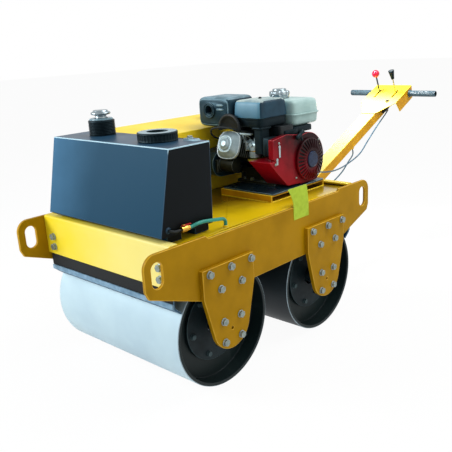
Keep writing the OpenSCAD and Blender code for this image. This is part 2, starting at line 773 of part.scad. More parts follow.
drive_route = [[30, 1125.2, 665.8], [30, 1128.5, 658.5], [30, 1131.8, 651.2], [32, 1128, 636],
    [38, 1106, 624], [46, 1060, 605], [54, 990, 566], [60, 910, 536], [66, 820, 514],
    [70, 740, 512], [72, 660, 526], [72, 590, 540], [72, 581, 540], [72, 572.3, 540]];
drain_hose_r = 6.5;
loop_hose_r = 5;
lead_r = 4;
cable_r = 3.5;

module drain_hose() color("teal") hose(drain_route, drain_hose_r, 10, 1);
module loop_hose() color("black") hose(loop_route, loop_hose_r, 8, 1);
module throttle_cable() color("darkslateblue") hose(throttle_route, cable_r, 8, 5);
module drive_cable() color("darkslateblue") hose(drive_route, cable_r, 8, 3);

// Engine, from the crankshaft's centre

base_t = 6;
base_z = deck_z + pedestal_h;
crank_z = base_z + crank_h;
pedestal_x = [-20, 272];
pedestal_reach = [-277, 107];
pedestal_y = [for (d = pedestal_reach) crank_y + d];
stop_x = [176, 196];
stop_d = 7;
stop_h = 30;
foot_t = 14;
foot_bolt_r = 5;
foot_bolt_af = 16;
foot_bolt_xs = [0, 165];
foot_bolt_ys = [-130, 72];

module pedestal() {
    block(pedestal_x[0], pedestal_x[1], pedestal_y[0], pedestal_y[1],
        base_z - base_t - sheet_t, base_z - base_t);
    for (y = [pedestal_y[0], pedestal_y[1] - sheet_t])
        block(pedestal_x[0], pedestal_x[1], y, y + sheet_t, deck_z, base_z - base_t);
}

module engine_pedestal() color("gold") difference() {
    pedestal();
    for (x = foot_bolt_xs, y = foot_bolt_ys)
        rod_z(foot_bolt_r + hole_gap, deck_z, base_z, x, crank_y + y);
}

// Base plate with the stop block that holds the end of the throttle cable's sleeve
module engine_base() color("black") difference() {
    union() {
        soft_block(pedestal_x[0] + base_t, pedestal_x[1] + base_t, pedestal_y[0] + base_t,
            pedestal_y[1] - base_t, base_z - base_t, base_z, base_t * 2);
        block(stop_x[0], stop_x[1], crank_y + case_r + fit, crank_y + case_r + stop_d,
            base_z - cut, base_z + stop_h);
    }
    for (x = foot_bolt_xs, y = foot_bolt_ys)
        rod_z(foot_bolt_r + hole_gap, base_z - base_t - cut, base_z + cut, x, crank_y + y);
}

case_x = [-40, 190];
case_r = 92;
case_wall = 14;
chamber_r = 70;
seat = 96;
cyl_x = [-20, 80];
cyl_half_h = 50;
cyl_bore_r = 38;
cyl_len = 166;
cover_t = 49;
fin_pitch = 13;
fin_t = 4;
fin_depth = 12;
cyl_mid_x = (cyl_x[0] + cyl_x[1]) / 2;

// Places children on the cylinder's axis: local -Y runs out along the cylinder
module on_cylinder() translate([0, crank_y, crank_z]) rotate([-cylinder_tilt, 0, 0]) children();

tank_x = [-70, 228];
tank_reach = [-51, 143];
tank_rise = [145, 258];
tank_seam_rise = 195;
tank_y = [for (d = tank_reach) crank_y + d];
tank_z = [for (d = tank_rise) crank_z + d];
tank_seam_z = crank_z + tank_seam_rise;
tank_r = 28;
stay_xs = [-23, 146];
stay_w = 26;

module crankcase() color("dimgray") difference() {
    union() {
        rod_x(case_r - base_t / 2, case_x[0], case_x[1], crank_y, crank_z);
        block(case_x[0] + base_t, case_x[1], crank_y - case_sump, crank_y + case_r, base_z,
            base_z + foot_t);
        block(case_x[0] + foot_t + base_t, case_x[1] - foot_t - base_t, crank_y - case_sump + base_t * 2,
            crank_y + case_r, base_z + foot_t - cut, base_z + sump_h);
        on_cylinder() block(cyl_x[0] - foot_t / 2, cyl_x[1] + foot_t / 2, -seat, 0, -cyl_half_h, cyl_half_h);
        for (x = stay_xs)
            block(x, x + stay_w, crank_y - stay_w, crank_y + stay_w, crank_z, tank_z[0]);
    }
    rod_x(crank_r + run, case_x[0] - cut, case_x[1] + cut, crank_y, crank_z);
    rod_x(chamber_r, case_x[0] + case_wall, case_x[1] - case_wall, crank_y, crank_z);
    on_cylinder() rod_y(cyl_bore_r, -seat - cut, 0, cyl_mid_x, 0);
    for (x = foot_bolt_xs, y = foot_bolt_ys)
        rod_z(foot_bolt_r + hole_gap, base_z - cut, base_z + foot_t + cut, x, crank_y + y);
    for (x = foot_bolt_xs, y = foot_bolt_ys)
        rod_z(foot_bolt_af * 0.75, base_z + foot_t, base_z + foot_t + foot_bolt_af * 2, x, crank_y + y);
}

case_sump = 150;
sump_h = 72;

// Finned cylinder, bored from the crankcase end
module cylinder_head() color("silver") on_cylinder() difference() {
    union() {
        block(cyl_x[0], cyl_x[1], -seat - cyl_len, -seat, -cyl_half_h + fin_depth, cyl_half_h - fin_depth);
        for (k = [0:floor((cyl_len - fin_t) / fin_pitch)])
            block(cyl_x[0] - fin_depth, cyl_x[1] + fin_depth, -seat - fin_t - k * fin_pitch,
                -seat - k * fin_pitch, -cyl_half_h, cyl_half_h);
        rod_x(plug_r, cyl_x[0] - plug_len, cyl_x[0] + cut, -seat - cyl_len + plug_back, plug_up);
    }
    rod_y(cyl_bore_r, -seat - cyl_len * 0.7, -seat + cut, cyl_mid_x, 0);
}

plug_r = 9;
plug_len = 30;
plug_back = 22;
plug_up = 20;
cover_half_w = 64;
cover_half_h = 62;
cover_drop = 10;
cover_shift = 4;
cover_x = cyl_mid_x - cover_shift;
cover_r = 40;
cover_boss_r = 22;
// Heights of the steps of the valve cover's dome, and their sizes against its flange
cover_height_shares = [0, 0.2, 0.55, 0.8, 0.93];
cover_size_shares = [1, 0.93, 0.76, 0.5];

// Domed valve cover in steps, with a boss in its middle
module valve_cover() color("whitesmoke") on_cylinder() {
    y = -seat - cyl_len;
    for (k = [0:len(cover_size_shares) - 1]) {
        w = cover_half_w * cover_size_shares[k];
        h = cover_half_h * cover_size_shares[k];
        slab_y(y - cover_t * cover_height_shares[k + 1], y - max(fit, cover_t * cover_height_shares[k]))
            rounded(cover_x - w, -cover_drop - h, cover_x + w, -cover_drop + h, cover_r * cover_size_shares[k]);
    }
    rod_y(cover_boss_r, y - cover_t, y - cover_t * cover_height_shares[len(cover_size_shares)],
        cover_x, -cover_drop);
}

muffler_x = [-150, 44];
muffler_reach = [-263, -103];
muffler_rise = [158, 288];
muffler_y = [for (d = muffler_reach) crank_y + d];
muffler_z = [for (d = muffler_rise) crank_z + d];
muffler_r = 16;
port_x = -74;
port_rise = 231;
port_z = crank_z + port_rise;
port_r = 33;
port_bore_r = 20;
port_depth = 40;
arch_r = 42;
exhaust_r = 18;
exhaust_back = 188;
exhaust_y = crank_y - exhaust_back;
exhaust_x = 20;

// Silencer box with its round outlet, and a pipe down to the cylinder
module muffler() color("black") difference() {
    union() {
        slab_y(muffler_y[0], muffler_y[1])
            rounded(muffler_x[0], muffler_z[0], muffler_x[1], muffler_z[1], muffler_r);
        rod_y(port_r, muffler_y[0] - port_depth / 5, muffler_y[0] + cut, port_x, port_z);
        rod_z(exhaust_r, muffler_low, muffler_z[0] + cut, exhaust_x, exhaust_y);
    }
    rod_y(port_bore_r, muffler_y[0] - port_depth, muffler_y[0] + port_depth, port_x, port_z);
    rod_y(arch_r, muffler_y[0] - cut, muffler_y[0] + port_depth, muffler_x[1] - arch_r * 0.4, muffler_z[0]);
}

exhaust_rise = 126;
muffler_low = crank_z + exhaust_rise;

air_x = [46, 206];
air_reach = [-247, -59];
air_rise = [163, 276];
air_seam_rise = 201;
air_y = [for (d = air_reach) crank_y + d];
air_z = [for (d = air_rise) crank_z + d];
air_seam_z = crank_z + air_seam_rise;
air_r = 18;
duct_x = [150, 195];
duct_reach = [-233, -177];
duct_rise = 48;
duct_y = [for (d = duct_reach) crank_y + d];
duct_z = crank_z + duct_rise;

// Air cleaner box, its lid and the duct down to the carburettor
module air_cleaner() color("black") {
    soft_block(air_x[0] + fit, air_x[1] - fit, air_y[0] + cut, air_y[1] - cut, air_z[0], air_seam_z, air_r);
    soft_block(air_x[0], air_x[1], air_y[0], air_y[1], air_seam_z, air_z[1] - air_r / 2, air_r);
    soft_block(air_x[0] + air_r / 3, air_x[1] - air_r / 3, air_y[0] + air_r / 3, air_y[1] - air_r / 3,
        air_z[1] - air_r / 2, air_z[1], air_r);
    rod_z(nub_r, air_z[1], air_z[1] + nub_r, (air_x[0] + air_x[1]) / 2, (air_y[0] + air_y[1]) / 2);
    soft_block(duct_x[0], duct_x[1], duct_y[0], duct_y[1], duct_z, air_z[0], air_r / 2);
}

nub_r = 7;
fuel_neck_r = 34;
fuel_wall = 3;
fuel_cap_r = 47;
fuel_cap_h = 32;
cap_x = (tank_x[0] + tank_x[1]) / 2;
cap_back = 40;
cap_y = crank_y + cap_back;

module fuel_tank() color("gainsboro") {
    difference() {
        union() {
            soft_block(tank_x[0], tank_x[1], tank_y[0], tank_y[1], tank_z[0], tank_z[1], tank_r);
            soft_block(tank_x[0] - tank_lip, tank_x[1] + tank_lip, tank_y[0] - tank_lip, tank_y[1] + tank_lip,
                tank_seam_z - fuel_wall, tank_seam_z + fuel_wall, tank_r + tank_lip);
        }
        soft_block(tank_x[0] + fuel_wall, tank_x[1] - fuel_wall, tank_y[0] + fuel_wall,
            tank_y[1] - fuel_wall, tank_z[0] + fuel_wall, tank_z[1] - fuel_wall, tank_r - fuel_wall);
        rod_z(fuel_neck_r - fuel_wall, tank_z[1] - fuel_wall - cut, tank_z[1] + cut, cap_x, cap_y);
    }
    difference() {
        rod_z(fuel_neck_r, tank_z[1], tank_z[1] + neck_h, cap_x, cap_y);
        rod_z(fuel_neck_r - fuel_wall, tank_z[1] - cut, tank_z[1] + neck_h + cut, cap_x, cap_y);
    }
}

tank_lip = 6;

module fuel_cap() color("silver") translate([cap_x, cap_y, tank_z[1]]) difference() {
    union() {
        translate([0, 0, neck_h]) cylinder(r = fuel_cap_r, h = fuel_cap_h - fuel_wall);
        translate([0, 0, fit]) cylinder(r = fuel_cap_r - fuel_wall, h = fuel_cap_h + neck_h - fit);
    }
    translate([0, 0, -cut]) cylinder(r = fuel_neck_r + fit, h = neck_h + fit + cut);
}

shroud_x = [196, 264];
nose_x = 238;
lobe_x = 150;
shroud_wall = 3;
shroud_front = 243;
shroud_nose_z = [35, 128];
lobe_front = 270;
lobe_back = 150.4;
lobe_top = 24;
flywheel_r = 92;
flywheel_x = [205, 240];
recoil_x = [264.3, 288];
emblem_r = 36;
emblem_t = 5;

// Outlines of the fan shroud from the crankshaft: the round part, cut flat over the base plate, the
// thin nose that carries the levers, and the lobe that wraps round the crankcase's front corner
module shroud_round(wall) translate([crank_y, crank_z]) intersection() {
    circle(shroud_r - wall);
    translate([-shroud_r, -crank_h + shroud_gap + wall]) square(2 * shroud_r);
}

module shroud_nose(wall) translate([crank_y, crank_z])
    polygon([
        [-shroud_front + wall, shroud_nose_z[0] + wall], [-shroud_r * 0.55, -shroud_r * 0.84 + wall],
        [0, 0], [-shroud_r * 0.3, shroud_r * 0.95 - wall],
        [-shroud_front * 0.62, shroud_nose_z[1] - wall], [-shroud_front + wall, shroud_nose_z[1] * 0.9 - wall]
    ]);

module shroud_lobe(wall, back) translate([crank_y, crank_z])
    polygon([
        [-lobe_front + wall, lobe_top - wall], [-lobe_front * 0.86 + wall, -lobe_top * 0.7 + wall],
        [-lobe_front * 0.68 + wall, -shroud_r * 0.55 + wall],
        [min(back, -lobe_back), -shroud_r * 0.8 + wall],
        if (back > -lobe_back) [-shroud_r * 0.55, -shroud_r * 0.84 + wall],
        [back, lobe_top - wall]
    ]);

shroud_gap = 3;
boss_x = 215;
boss_front = 93;
boss_y = crank_y - boss_front;
boss_r = 7;
boss_rise = 126;
boss_z = crank_z + boss_rise;
panel_pin_r = 3;

module shroud_solid(wall, over) {
    slab_x(shroud_x[0] - over, shroud_x[1] - wall) shroud_round(wall);
    slab_x(nose_x - over, shroud_x[1] - wall) shroud_nose(wall);
    slab_x(shroud_x[0] - over, shroud_x[1] - wall) shroud_lobe(wall, 0);
    slab_x(lobe_x - over, shroud_x[0]) shroud_lobe(wall, -lobe_back - wall);
}

// Fan shroud with the ignition lead's boss on its top
module fan_shroud() color("darkred") difference() {
    union() {
        shroud_solid(0, 0);
        rod_z(boss_r, boss_z - 3 * boss_r, boss_z, boss_x, boss_y);
        block(boss_x, nose_x + 2 * shroud_wall, boss_y - boss_r, boss_y + boss_r,
            boss_z - 2 * boss_r, boss_z - boss_r);
    }
    shroud_solid(shroud_wall, cut);
    rod_x(recoil_r - foot_t, shroud_x[1] - shroud_wall - cut, shroud_x[1] + cut, crank_y, crank_z);
    for (p = [[throttle_y, throttle_z], [fuel_lever_y, fuel_lever_z]])
        rod_x(panel_pin_r + run, shroud_x[1] - shroud_wall - cut, shroud_x[1] + cut, p[0], p[1]);
}

// Recoil starter cover with a bare round badge on its crown
module recoil_cover() color("firebrick") translate([recoil_x[0], crank_y, crank_z]) rotate([0, 90, 0]) {
    h = recoil_x[1] - recoil_x[0];
    rotate_extrude() polygon([
        [0, h - shroud_wall], [recoil_r * 0.6, h - shroud_wall], [recoil_r - 2 * shroud_wall, h * 0.5],
        [recoil_r - 2 * shroud_wall, 0], [recoil_r, 0], [recoil_r, h * 0.55],
        [recoil_r * 0.65, h], [0, h]
    ]);
    translate([0, 0, h - fit]) cylinder(r = emblem_r, h = emblem_t);
}

grip_front = 55;
grip_rise = 92;
grip_y = crank_y - grip_front;
grip_z = crank_z + grip_rise;
rope_grip_len = 62;
rope_grip_r = 9;

// Starter grip, resting on the shroud's upper edge in front of the recoil cover
module recoil_grip() color("black") {
    translate([recoil_x[0] + rope_grip_r + fit, grip_y, grip_z]) rotate([grip_lean, 0, 0]) {
        cylinder(r = rope_grip_r * 0.55, h = rope_grip_len * 0.4);
        translate([0, -rope_grip_len / 2, rope_grip_len * 0.4 + rope_grip_r / 2]) rotate([-90, 0, 0])
            cylinder(r = rope_grip_r, h = rope_grip_len);
    }
}

grip_lean = 30;
carb_front = 197;
carb_rise = 80;
carb_y = crank_y - carb_front;
carb_z = crank_z + carb_rise;
carb_r = 22;
bowl_r = 24;
bowl_h = 30;

// Carburettor between the cylinder's side and the air duct, with its float bowl
module carburettor() color("silver") {
    x0 = cyl_x[1] + fin_depth + fit;
    rod_x(carb_r, x0, duct_x[0] - fit, carb_y, carb_z);
    rod_z(bowl_r, carb_z - carb_r - bowl_h, carb_z, (x0 + duct_x[0]) / 2, carb_y);
    block(x0, x0 + foot_t / 2, carb_y - bowl_r * 1.2, carb_y + bowl_r * 1.2, carb_z - carb_r, carb_z + carb_r);
}

lever_t = 3;
lever_w = 9;
throttle_front = 203;
throttle_rise = 83;
fuel_lever_front = 221;
fuel_lever_rise = 31;
throttle_y = crank_y - throttle_front;
throttle_z = crank_z + throttle_rise;
fuel_lever_y = crank_y - fuel_lever_front;
fuel_lever_z = crank_z + fuel_lever_rise;
lever_len = 44;

// Flat lever on the shroud's outer face; its pin turns in a hole in the shroud
module panel_lever(y, z, length) {
    x = shroud_x[1] + fit;
    rod_x(lever_w * 0.7, x, x + lever_t, y, z);
    rod_x(panel_pin_r, x - shroud_wall - lever_t, x + lever_t, y, z);
    block(x, x + lever_t, y - lever_w / 2, y + lever_w / 2, z - length, z);
}

module throttle_lever() color("silver") panel_lever(throttle_y, throttle_z, lever_len);
module fuel_lever() color("silver") panel_lever(fuel_lever_y, fuel_lever_z, lever_len * 0.5);

module ignition_lead() color("black") hose(lead_route, lead_r, 8, 2);

web_r = 62;
web_t = 18;
throw = 32;
pin_len = 30;
pulley_x = [-118, -68];

// Crankshaft with its webs, crank pin, flywheel and clutch pulley
module crankshaft() color("gray") {
    difference() {
        union() {
            rod_x(crank_r, pulley_x[0], flywheel_x[1], crank_y, crank_z);
            rod_x(flywheel_r, flywheel_x[0], flywheel_x[1], crank_y, crank_z);
            rod_x(clutch_r, pulley_x[0], pulley_x[1], crank_y, crank_z);
        }
        for (x = belt_xs) belt_groove(clutch_r, x, crank_y, crank_z);
        rod_x(web_r + cut, cyl_mid_x - pin_len / 2, cyl_mid_x + pin_len / 2, crank_y, crank_z);
    }
    for (x = [cyl_mid_x - pin_len / 2 - web_t, cyl_mid_x + pin_len / 2])
        rod_x(web_r, x, x + web_t, crank_y, crank_z);
    rod_x(crank_r, cyl_mid_x - pin_len / 2 - web_t / 2, cyl_mid_x + pin_len / 2 + web_t / 2,
        crank_y - throw * cos(cylinder_tilt), crank_z + throw * sin(cylinder_tilt));
}

belt_xs = [-106, -80];
belt_half_w = 7;
belt_h = 9;
belt_sink = 11;

// V groove cut into a pulley's rim
module belt_groove(r, x, y, z) translate([x, y, z]) rotate([0, 90, 0]) rotate_extrude() polygon([
    [r + cut, -belt_half_w - fit], [r + cut, belt_half_w + fit],
    [r - belt_sink, belt_half_w * 0.6 + fit], [r - belt_sink, -belt_half_w * 0.6 - fit]
]);

pump_front = 243;
pump_drop = 7;
pump_y = crank_y - pump_front;
pump_z = crank_z - pump_drop;
guard_gap = 16;
guard_x = [-124, -40];
guard_wall = 3;

arc_steps = 30;

function arc(y, z, r, from, to) = [
    for (k = [0:arc_steps]) let (q = from + (to - from) * k / arc_steps) [y + r * cos(q), z + r * sin(q)]
];

// Outline round both pulleys: two arcs joined by their outer tangents
module belt_loop(r1, r2) {
    d = [pump_y - crank_y, pump_z - crank_z];
    a = atan2(d[1], d[0]);
    t = acos((r1 - r2) / norm(d));
    polygon(concat(arc(crank_y, crank_z, r1, a + t, a + 360 - t), arc(pump_y, pump_z, r2, a - t, a + t)));
}

module belt_guard() color("black") difference() {
    slab_x(guard_x[0], guard_x[1]) belt_loop(clutch_r + guard_gap, pump_pulley_r + guard_gap);
    slab_x(guard_x[0] + guard_wall, guard_x[1] - guard_wall)
        belt_loop(clutch_r + guard_gap - guard_wall, pump_pulley_r + guard_gap - guard_wall);
    rod_x(crank_r + fit * 3, guard_x[1] - guard_wall - cut, guard_x[1] + cut, crank_y, crank_z);
    rod_x(pump_shaft_r + fit * 3, guard_x[1] - guard_wall - cut, guard_x[1] + cut, pump_y, pump_z);
}

pump_shaft_r = 9;
pump_r = 34;
pump_len = 92;

module drive_belts() color("black") for (x = belt_xs) slab_x(x - belt_half_w * 0.65, x + belt_half_w * 0.65)
    difference() {
        belt_loop(clutch_r - run, pump_pulley_r - run);
        belt_loop(clutch_r - belt_h, pump_pulley_r - belt_h);
    }

module pump_pulley() color("gray") {
    difference() {
        rod_x(pump_pulley_r, pulley_x[0], pulley_x[1], pump_y, pump_z);
        for (x = belt_xs) belt_groove(pump_pulley_r, x, pump_y, pump_z);
    }
    rod_x(pump_shaft_r, pulley_x[1] - cut, guard_x[1] + pump_len / 2, pump_y, pump_z);
}

// Gear pump bolted to the belt guard's plate
module hydraulic_pump() color("dimgray") difference() {
    union() {
        block(guard_x[1], guard_x[1] + foot_t, pump_y - pump_r * 1.2, pump_y + pump_r,
            pump_z - pump_r, pump_z + pump_r * 0.7);
        rod_x(pump_r * 0.94, guard_x[1], guard_x[1] + pump_len, pump_y, pump_z);
    }
    rod_x(pump_shaft_r + run, guard_x[1] - cut, guard_x[1] + pump_len / 2 + cut, pump_y, pump_z);
}

// Handle: local X across, local Y out along the arm, local Z square to it

module on_handle() translate([0, pivot_y, pivot_z]) rotate([handle_slope, 0, 0]) children();

module pivot_pin() color("silver") {
    rod_x(pin_r, -ear_in - ear_t - pin_r, ear_in + ear_t + pin_r, pivot_y, pivot_z);
    both_sides() rod_x(pin_r * 1.6, ear_in + ear_t + fit, ear_in + ear_t + pin_r, pivot_y, pivot_z);
}

arm_back = 60;
arm_end = handle_len - arm_back;
arm_gland_x = 30;
arm_gland_u = 560;
taper_start = handle_len - console_len - console_taper;

// Box-section arm, rounded round its pivot and open at its far end, with the drive cable's gland
module handle_arm() color("gold") on_handle() difference() {
    union() {
        rod_x(arm_d / 2, -arm_w / 2, arm_w / 2, 0, 0);
        block(-arm_w / 2, arm_w / 2, 0, arm_end, -arm_d / 2, arm_d / 2);
        rod_z(gland_r, -arm_d / 2 - gland_h, -arm_d / 2 + arm_wall, arm_gland_x, arm_gland_u);
    }
    block(-arm_w / 2 + arm_wall, arm_w / 2 - arm_wall, arm_d, arm_end + cut,
        -arm_d / 2 + arm_wall, arm_d / 2 - arm_wall);
    rod_x(pin_r + run, -arm_w / 2 - cut, arm_w / 2 + cut, 0, 0);
}

console_t = 4;
slot_x = 57;
slot_half_w = 6;
slot_backs = [145, 58];
slot_u = [for (d = slot_backs) handle_len - d];
button_x = 54;
button_back = 190;
button_u = handle_len - button_back;
button_r = 9;
lever_v = -28;
lever_gap = 1.5;
drive_back = 78;
vibration_back = 91;
drive_u = handle_len - drive_back;
vibration_u = handle_len - vibration_back;

module console_top() polygon([
    [-console_w / 2, handle_len], [console_w / 2, handle_len], [console_w / 2, handle_len - console_len],
    [arm_w / 2, taper_start], [-arm_w / 2, taper_start], [-console_w / 2, handle_len - console_len]
]);

// Folded sheet console: a top plate that widens from the arm, with side and rear walls
module console() color("gold") on_handle() difference() {
    u0 = handle_len - console_len;
    top = arm_d / 2;
    union() {
        translate([0, 0, top + run]) linear_extrude(console_t) console_top();
        both_sides() slab_x(console_w / 2 - console_t, console_w / 2) polygon([
            [u0, top + run], [handle_len, top + run], [handle_len - console_tail, console_low_v],
            [u0 + console_tail * 1.7, console_low_v]
        ]);
        slab_x(-console_w / 2, console_w / 2) polygon([
            [handle_len, top + run], [handle_len - console_tail, console_low_v],
            [handle_len - console_tail - console_t, console_low_v], [handle_len - console_t, top + run]
        ]);
        both_sides() block(slot_x + slot_half_w, slot_x + slot_half_w + console_t, drive_u - bar_r * 2.5,
            drive_u + bar_r, lever_v - bar_r, top + run);
    }
    for (s = [-1, 1]) block(s * slot_x - slot_half_w, s * slot_x + slot_half_w, slot_u[0], slot_u[1],
        top - cut, top + console_t + cut);
    rod_z(button_r + fit, top - cut, top + console_t + cut, button_x, button_u);
    rod_x(bar_r + fit, -console_w, console_w, bar_u, bar_v);
    rod_x(lever_pin_r + run, slot_x, slot_x + slot_half_w + 2 * console_t, vibration_u, lever_v);
    rod_x(lever_pin_r + run, -slot_x - slot_half_w - 2 * console_t, -slot_x, drive_u, lever_v);
}

lever_pin_r = 4;
rod_r = 4;

module handlebar() color("silver") on_handle() difference() {
    rod_x(bar_r, -bar_half + cut, bar_half - cut, bar_u, bar_v);
    rod_x(bar_r - cut, -bar_half, bar_half, bar_u, bar_v);
}

module handle_grips() color("darkslategray") on_handle() both_sides() difference() {
    union() {
        rod_x(grip_r, console_w / 2 + fit, bar_half, bar_u, bar_v);
        rod_x(grip_r * 1.3, console_w / 2 + fit, console_w / 2 + grip_r / 2, bar_u, bar_v);
    }
    rod_x(bar_r + run, console_w / 2, bar_half - cut, bar_u, bar_v);
}

// Straight lever: a hub with its pin, a rod, and room for the knob given as a child
module console_lever(s, u, length) on_handle() translate([s * slot_x, u, lever_v]) {
    rod_x(rod_r * 1.6, -slot_half_w + lever_gap, slot_half_w - lever_gap, 0, 0);
    rod_z(rod_r, 0, length, 0, 0);
    rod_x(lever_pin_r, min(0, s * (slot_half_w + console_t)), max(0, s * (slot_half_w + console_t)), 0, 0);
    translate([0, 0, length]) children();
}

drive_rod = 158;
vibration_rod = 150;
knob_r = 17;
knob_low_r = 9;
knob_h = 52;

module drive_lever() color("crimson") console_lever(-1, drive_u, drive_rod)
    translate([0, 0, ball_r * 0.8]) sphere(r = ball_r);

module vibration_lever() color("black") console_lever(1, vibration_u, vibration_rod)
    rotate_extrude() polygon([[0, 0], [knob_low_r, 0], [knob_r, knob_h], [0, knob_h]]);

module stop_button() color("black") on_handle()
    rod_z(button_r, arm_d / 2 - console_t, arm_d / 2 + console_t * 2.5, button_x, button_u);

tag_t = 1;
tag_w = 102;
tag_low = 54;
tag_up = 78;
tag_lean = 9;
tag_front = 290;
tag_y0 = crank_y - tag_front;
tag_x = plate_out + fit;

// Bare card stuck to the side plate by its lower half, its upper half leaning inwards
module stuck_card() color("yellowgreen") slab_y(tag_y0, tag_y0 + tag_w) polygon([
    [tag_x, deck_z - tag_low], [tag_x + tag_t, deck_z - tag_low], [tag_x + tag_t, deck_z + fit],
    [tag_x + tag_t - tag_lean, deck_z + tag_up], [tag_x - tag_lean, deck_z + tag_up], [tag_x, deck_z + fit]
]);

placed() right_side_plate();
placed() left_side_plate();
placed() front_beam();
placed() rear_beam();
placed() deck_plate();
placed() leg_plates();
placed() frame_bolts();
placed() axle_housings();
placed() drum_bearings();
placed() front_drum();
placed() front_drum_hubs();
placed() front_hub_bolts();
placed() rear_drum();
placed() rear_drum_hubs();
placed() rear_hub_bolts();
placed() front_exciter();
placed() rear_exciter();
placed() drum_scrapers();
placed() oil_tank();
placed() breather_body();
placed() breather_cap();
placed() filler_cap();
placed() water_tank();
placed() water_tank_cap();
placed() hose_valve();
placed() valve_lever();
placed() drain_hose();
placed() loop_hose();
placed() engine_pedestal();
placed() engine_base();
placed() crankcase();
placed() cylinder_head();
placed() valve_cover();
placed() muffler();
placed() air_cleaner();
placed() fuel_tank();
placed() fuel_cap();
placed() fan_shroud();
placed() recoil_cover();
placed() recoil_grip();
placed() carburettor();
placed() throttle_lever();
placed() fuel_lever();
placed() ignition_lead();
placed() crankshaft();
placed() belt_guard();
placed() drive_belts();
placed() pump_pulley();
placed() hydraulic_pump();
placed() pivot_pin();
placed() handle_arm();
placed() console();
placed() handlebar();
placed() handle_grips();
placed() drive_lever();
placed() vibration_lever();
placed() stop_button();
placed() throttle_cable();
placed() drive_cable();
placed() stuck_card();
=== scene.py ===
"""Walk-behind double-drum roller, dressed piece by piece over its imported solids.

Lengths here are millimetres from the ground midway between the drums: X runs along the axles,
Y back to the handle and Z up. placed() turns them into the frame's metres.
"""

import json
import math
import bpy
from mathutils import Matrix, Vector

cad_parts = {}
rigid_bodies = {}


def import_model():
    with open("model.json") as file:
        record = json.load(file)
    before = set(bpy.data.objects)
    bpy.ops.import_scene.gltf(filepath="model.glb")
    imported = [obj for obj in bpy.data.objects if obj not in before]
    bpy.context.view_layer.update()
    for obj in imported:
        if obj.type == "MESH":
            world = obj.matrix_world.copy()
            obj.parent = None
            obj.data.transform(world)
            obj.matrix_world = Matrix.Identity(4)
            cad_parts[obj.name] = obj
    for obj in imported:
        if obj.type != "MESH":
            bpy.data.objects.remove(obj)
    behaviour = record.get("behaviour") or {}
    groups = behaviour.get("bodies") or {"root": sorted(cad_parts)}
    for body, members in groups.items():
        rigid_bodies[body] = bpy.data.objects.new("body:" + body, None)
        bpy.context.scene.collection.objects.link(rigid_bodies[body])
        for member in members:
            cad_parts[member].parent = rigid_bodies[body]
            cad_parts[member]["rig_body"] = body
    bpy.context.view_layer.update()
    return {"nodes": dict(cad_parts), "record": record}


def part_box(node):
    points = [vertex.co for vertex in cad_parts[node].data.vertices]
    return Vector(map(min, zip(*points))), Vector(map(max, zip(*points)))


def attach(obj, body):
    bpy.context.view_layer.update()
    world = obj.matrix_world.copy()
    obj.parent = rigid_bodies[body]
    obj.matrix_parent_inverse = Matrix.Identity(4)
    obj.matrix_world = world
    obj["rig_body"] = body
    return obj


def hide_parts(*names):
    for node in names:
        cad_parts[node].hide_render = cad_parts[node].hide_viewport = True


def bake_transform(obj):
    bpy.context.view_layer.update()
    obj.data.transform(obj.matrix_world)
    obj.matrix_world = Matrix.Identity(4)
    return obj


bl_info = {
    "name": "Double-drum roller",
    "version": (1, 0, 0),
    "blender": (4, 5, 0),
    "location": "3D View > Sidebar > Roller",
    "description": "Makes the roller's finished pieces, paints and stage over its packed solids",
    "category": "Object",
}

import bmesh
import bpy
import numpy as np
from bpy.props import FloatProperty, FloatVectorProperty, IntProperty, PointerProperty
from mathutils import Matrix, Vector

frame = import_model()
MIDDLE = sum(c.y for n in ("front_drum", "rear_drum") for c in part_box(n)) / 4
SLOT_OF = {p["node"]: p["material_slot"] for p in frame["record"]["subparts"]}
# Half the wheelbase, the drums' radius, and the places of the crankshaft, handle pivot and oil tank lid
AXLE, DRUM_R = 310.0, 240.0
CRANK_Y, CRANK_Z = 393.0, 752.0
PIVOT_Y, PIVOT_Z = 600.0, 468.0
TANK_TOP = 938.0
HANDLE_RISE, CYLINDER_LEAN = math.radians(24.4), math.radians(20)
ROUND = 2 * math.pi
UP, OUT = (0, 0, 1), (1, 0, 0)
BLUE_SHEEN, NO_TINT = (0.42, 0.80, 1.0, 1.0), (1.0, 1.0, 1.0, 1.0)


# Places


def placed(points):
    """Frame metres of roller millimetres: p / 1000, shifted along Y by the middle of the drums"""
    return np.asarray(points, float) / 1000 + np.array([0, MIDDLE, 0])


def on_handle(points):
    """Handle millimetres (across, out along the arm, square to it), turned up about the pivot"""
    p, s = np.asarray(points, float), HANDLE_RISE
    x, u, v = p[..., 0], p[..., 1], p[..., 2]
    y, z = u * math.cos(s) - v * math.sin(s), u * math.sin(s) + v * math.cos(s)
    return np.stack([x, PIVOT_Y + y, PIVOT_Z + z], -1)


def on_cylinder(points):
    """Cylinder millimetres, whose -Y runs out along the bore, leant over about the crankshaft"""
    p, s = np.asarray(points, float), CYLINDER_LEAN
    x, y, z = p[..., 0], p[..., 1], p[..., 2]
    y, z = y * math.cos(s) + z * math.sin(s), z * math.cos(s) - y * math.sin(s)
    return np.stack([x, CRANK_Y + y, CRANK_Z + z], -1)


def unit(v):
    """v divided by its length, along the last axis"""
    v = np.asarray(v, float)
    return v / np.linalg.norm(v, axis=-1, keepdims=True)


def across(axis):
    """Two unit vectors square to the axis and to each other"""
    a = unit(axis)
    e = unit(np.cross(a, [0, 0, 1] if abs(a[2]) < 0.9 else [0, 1, 0]))
    return e, np.cross(a, e)


# Surfaces


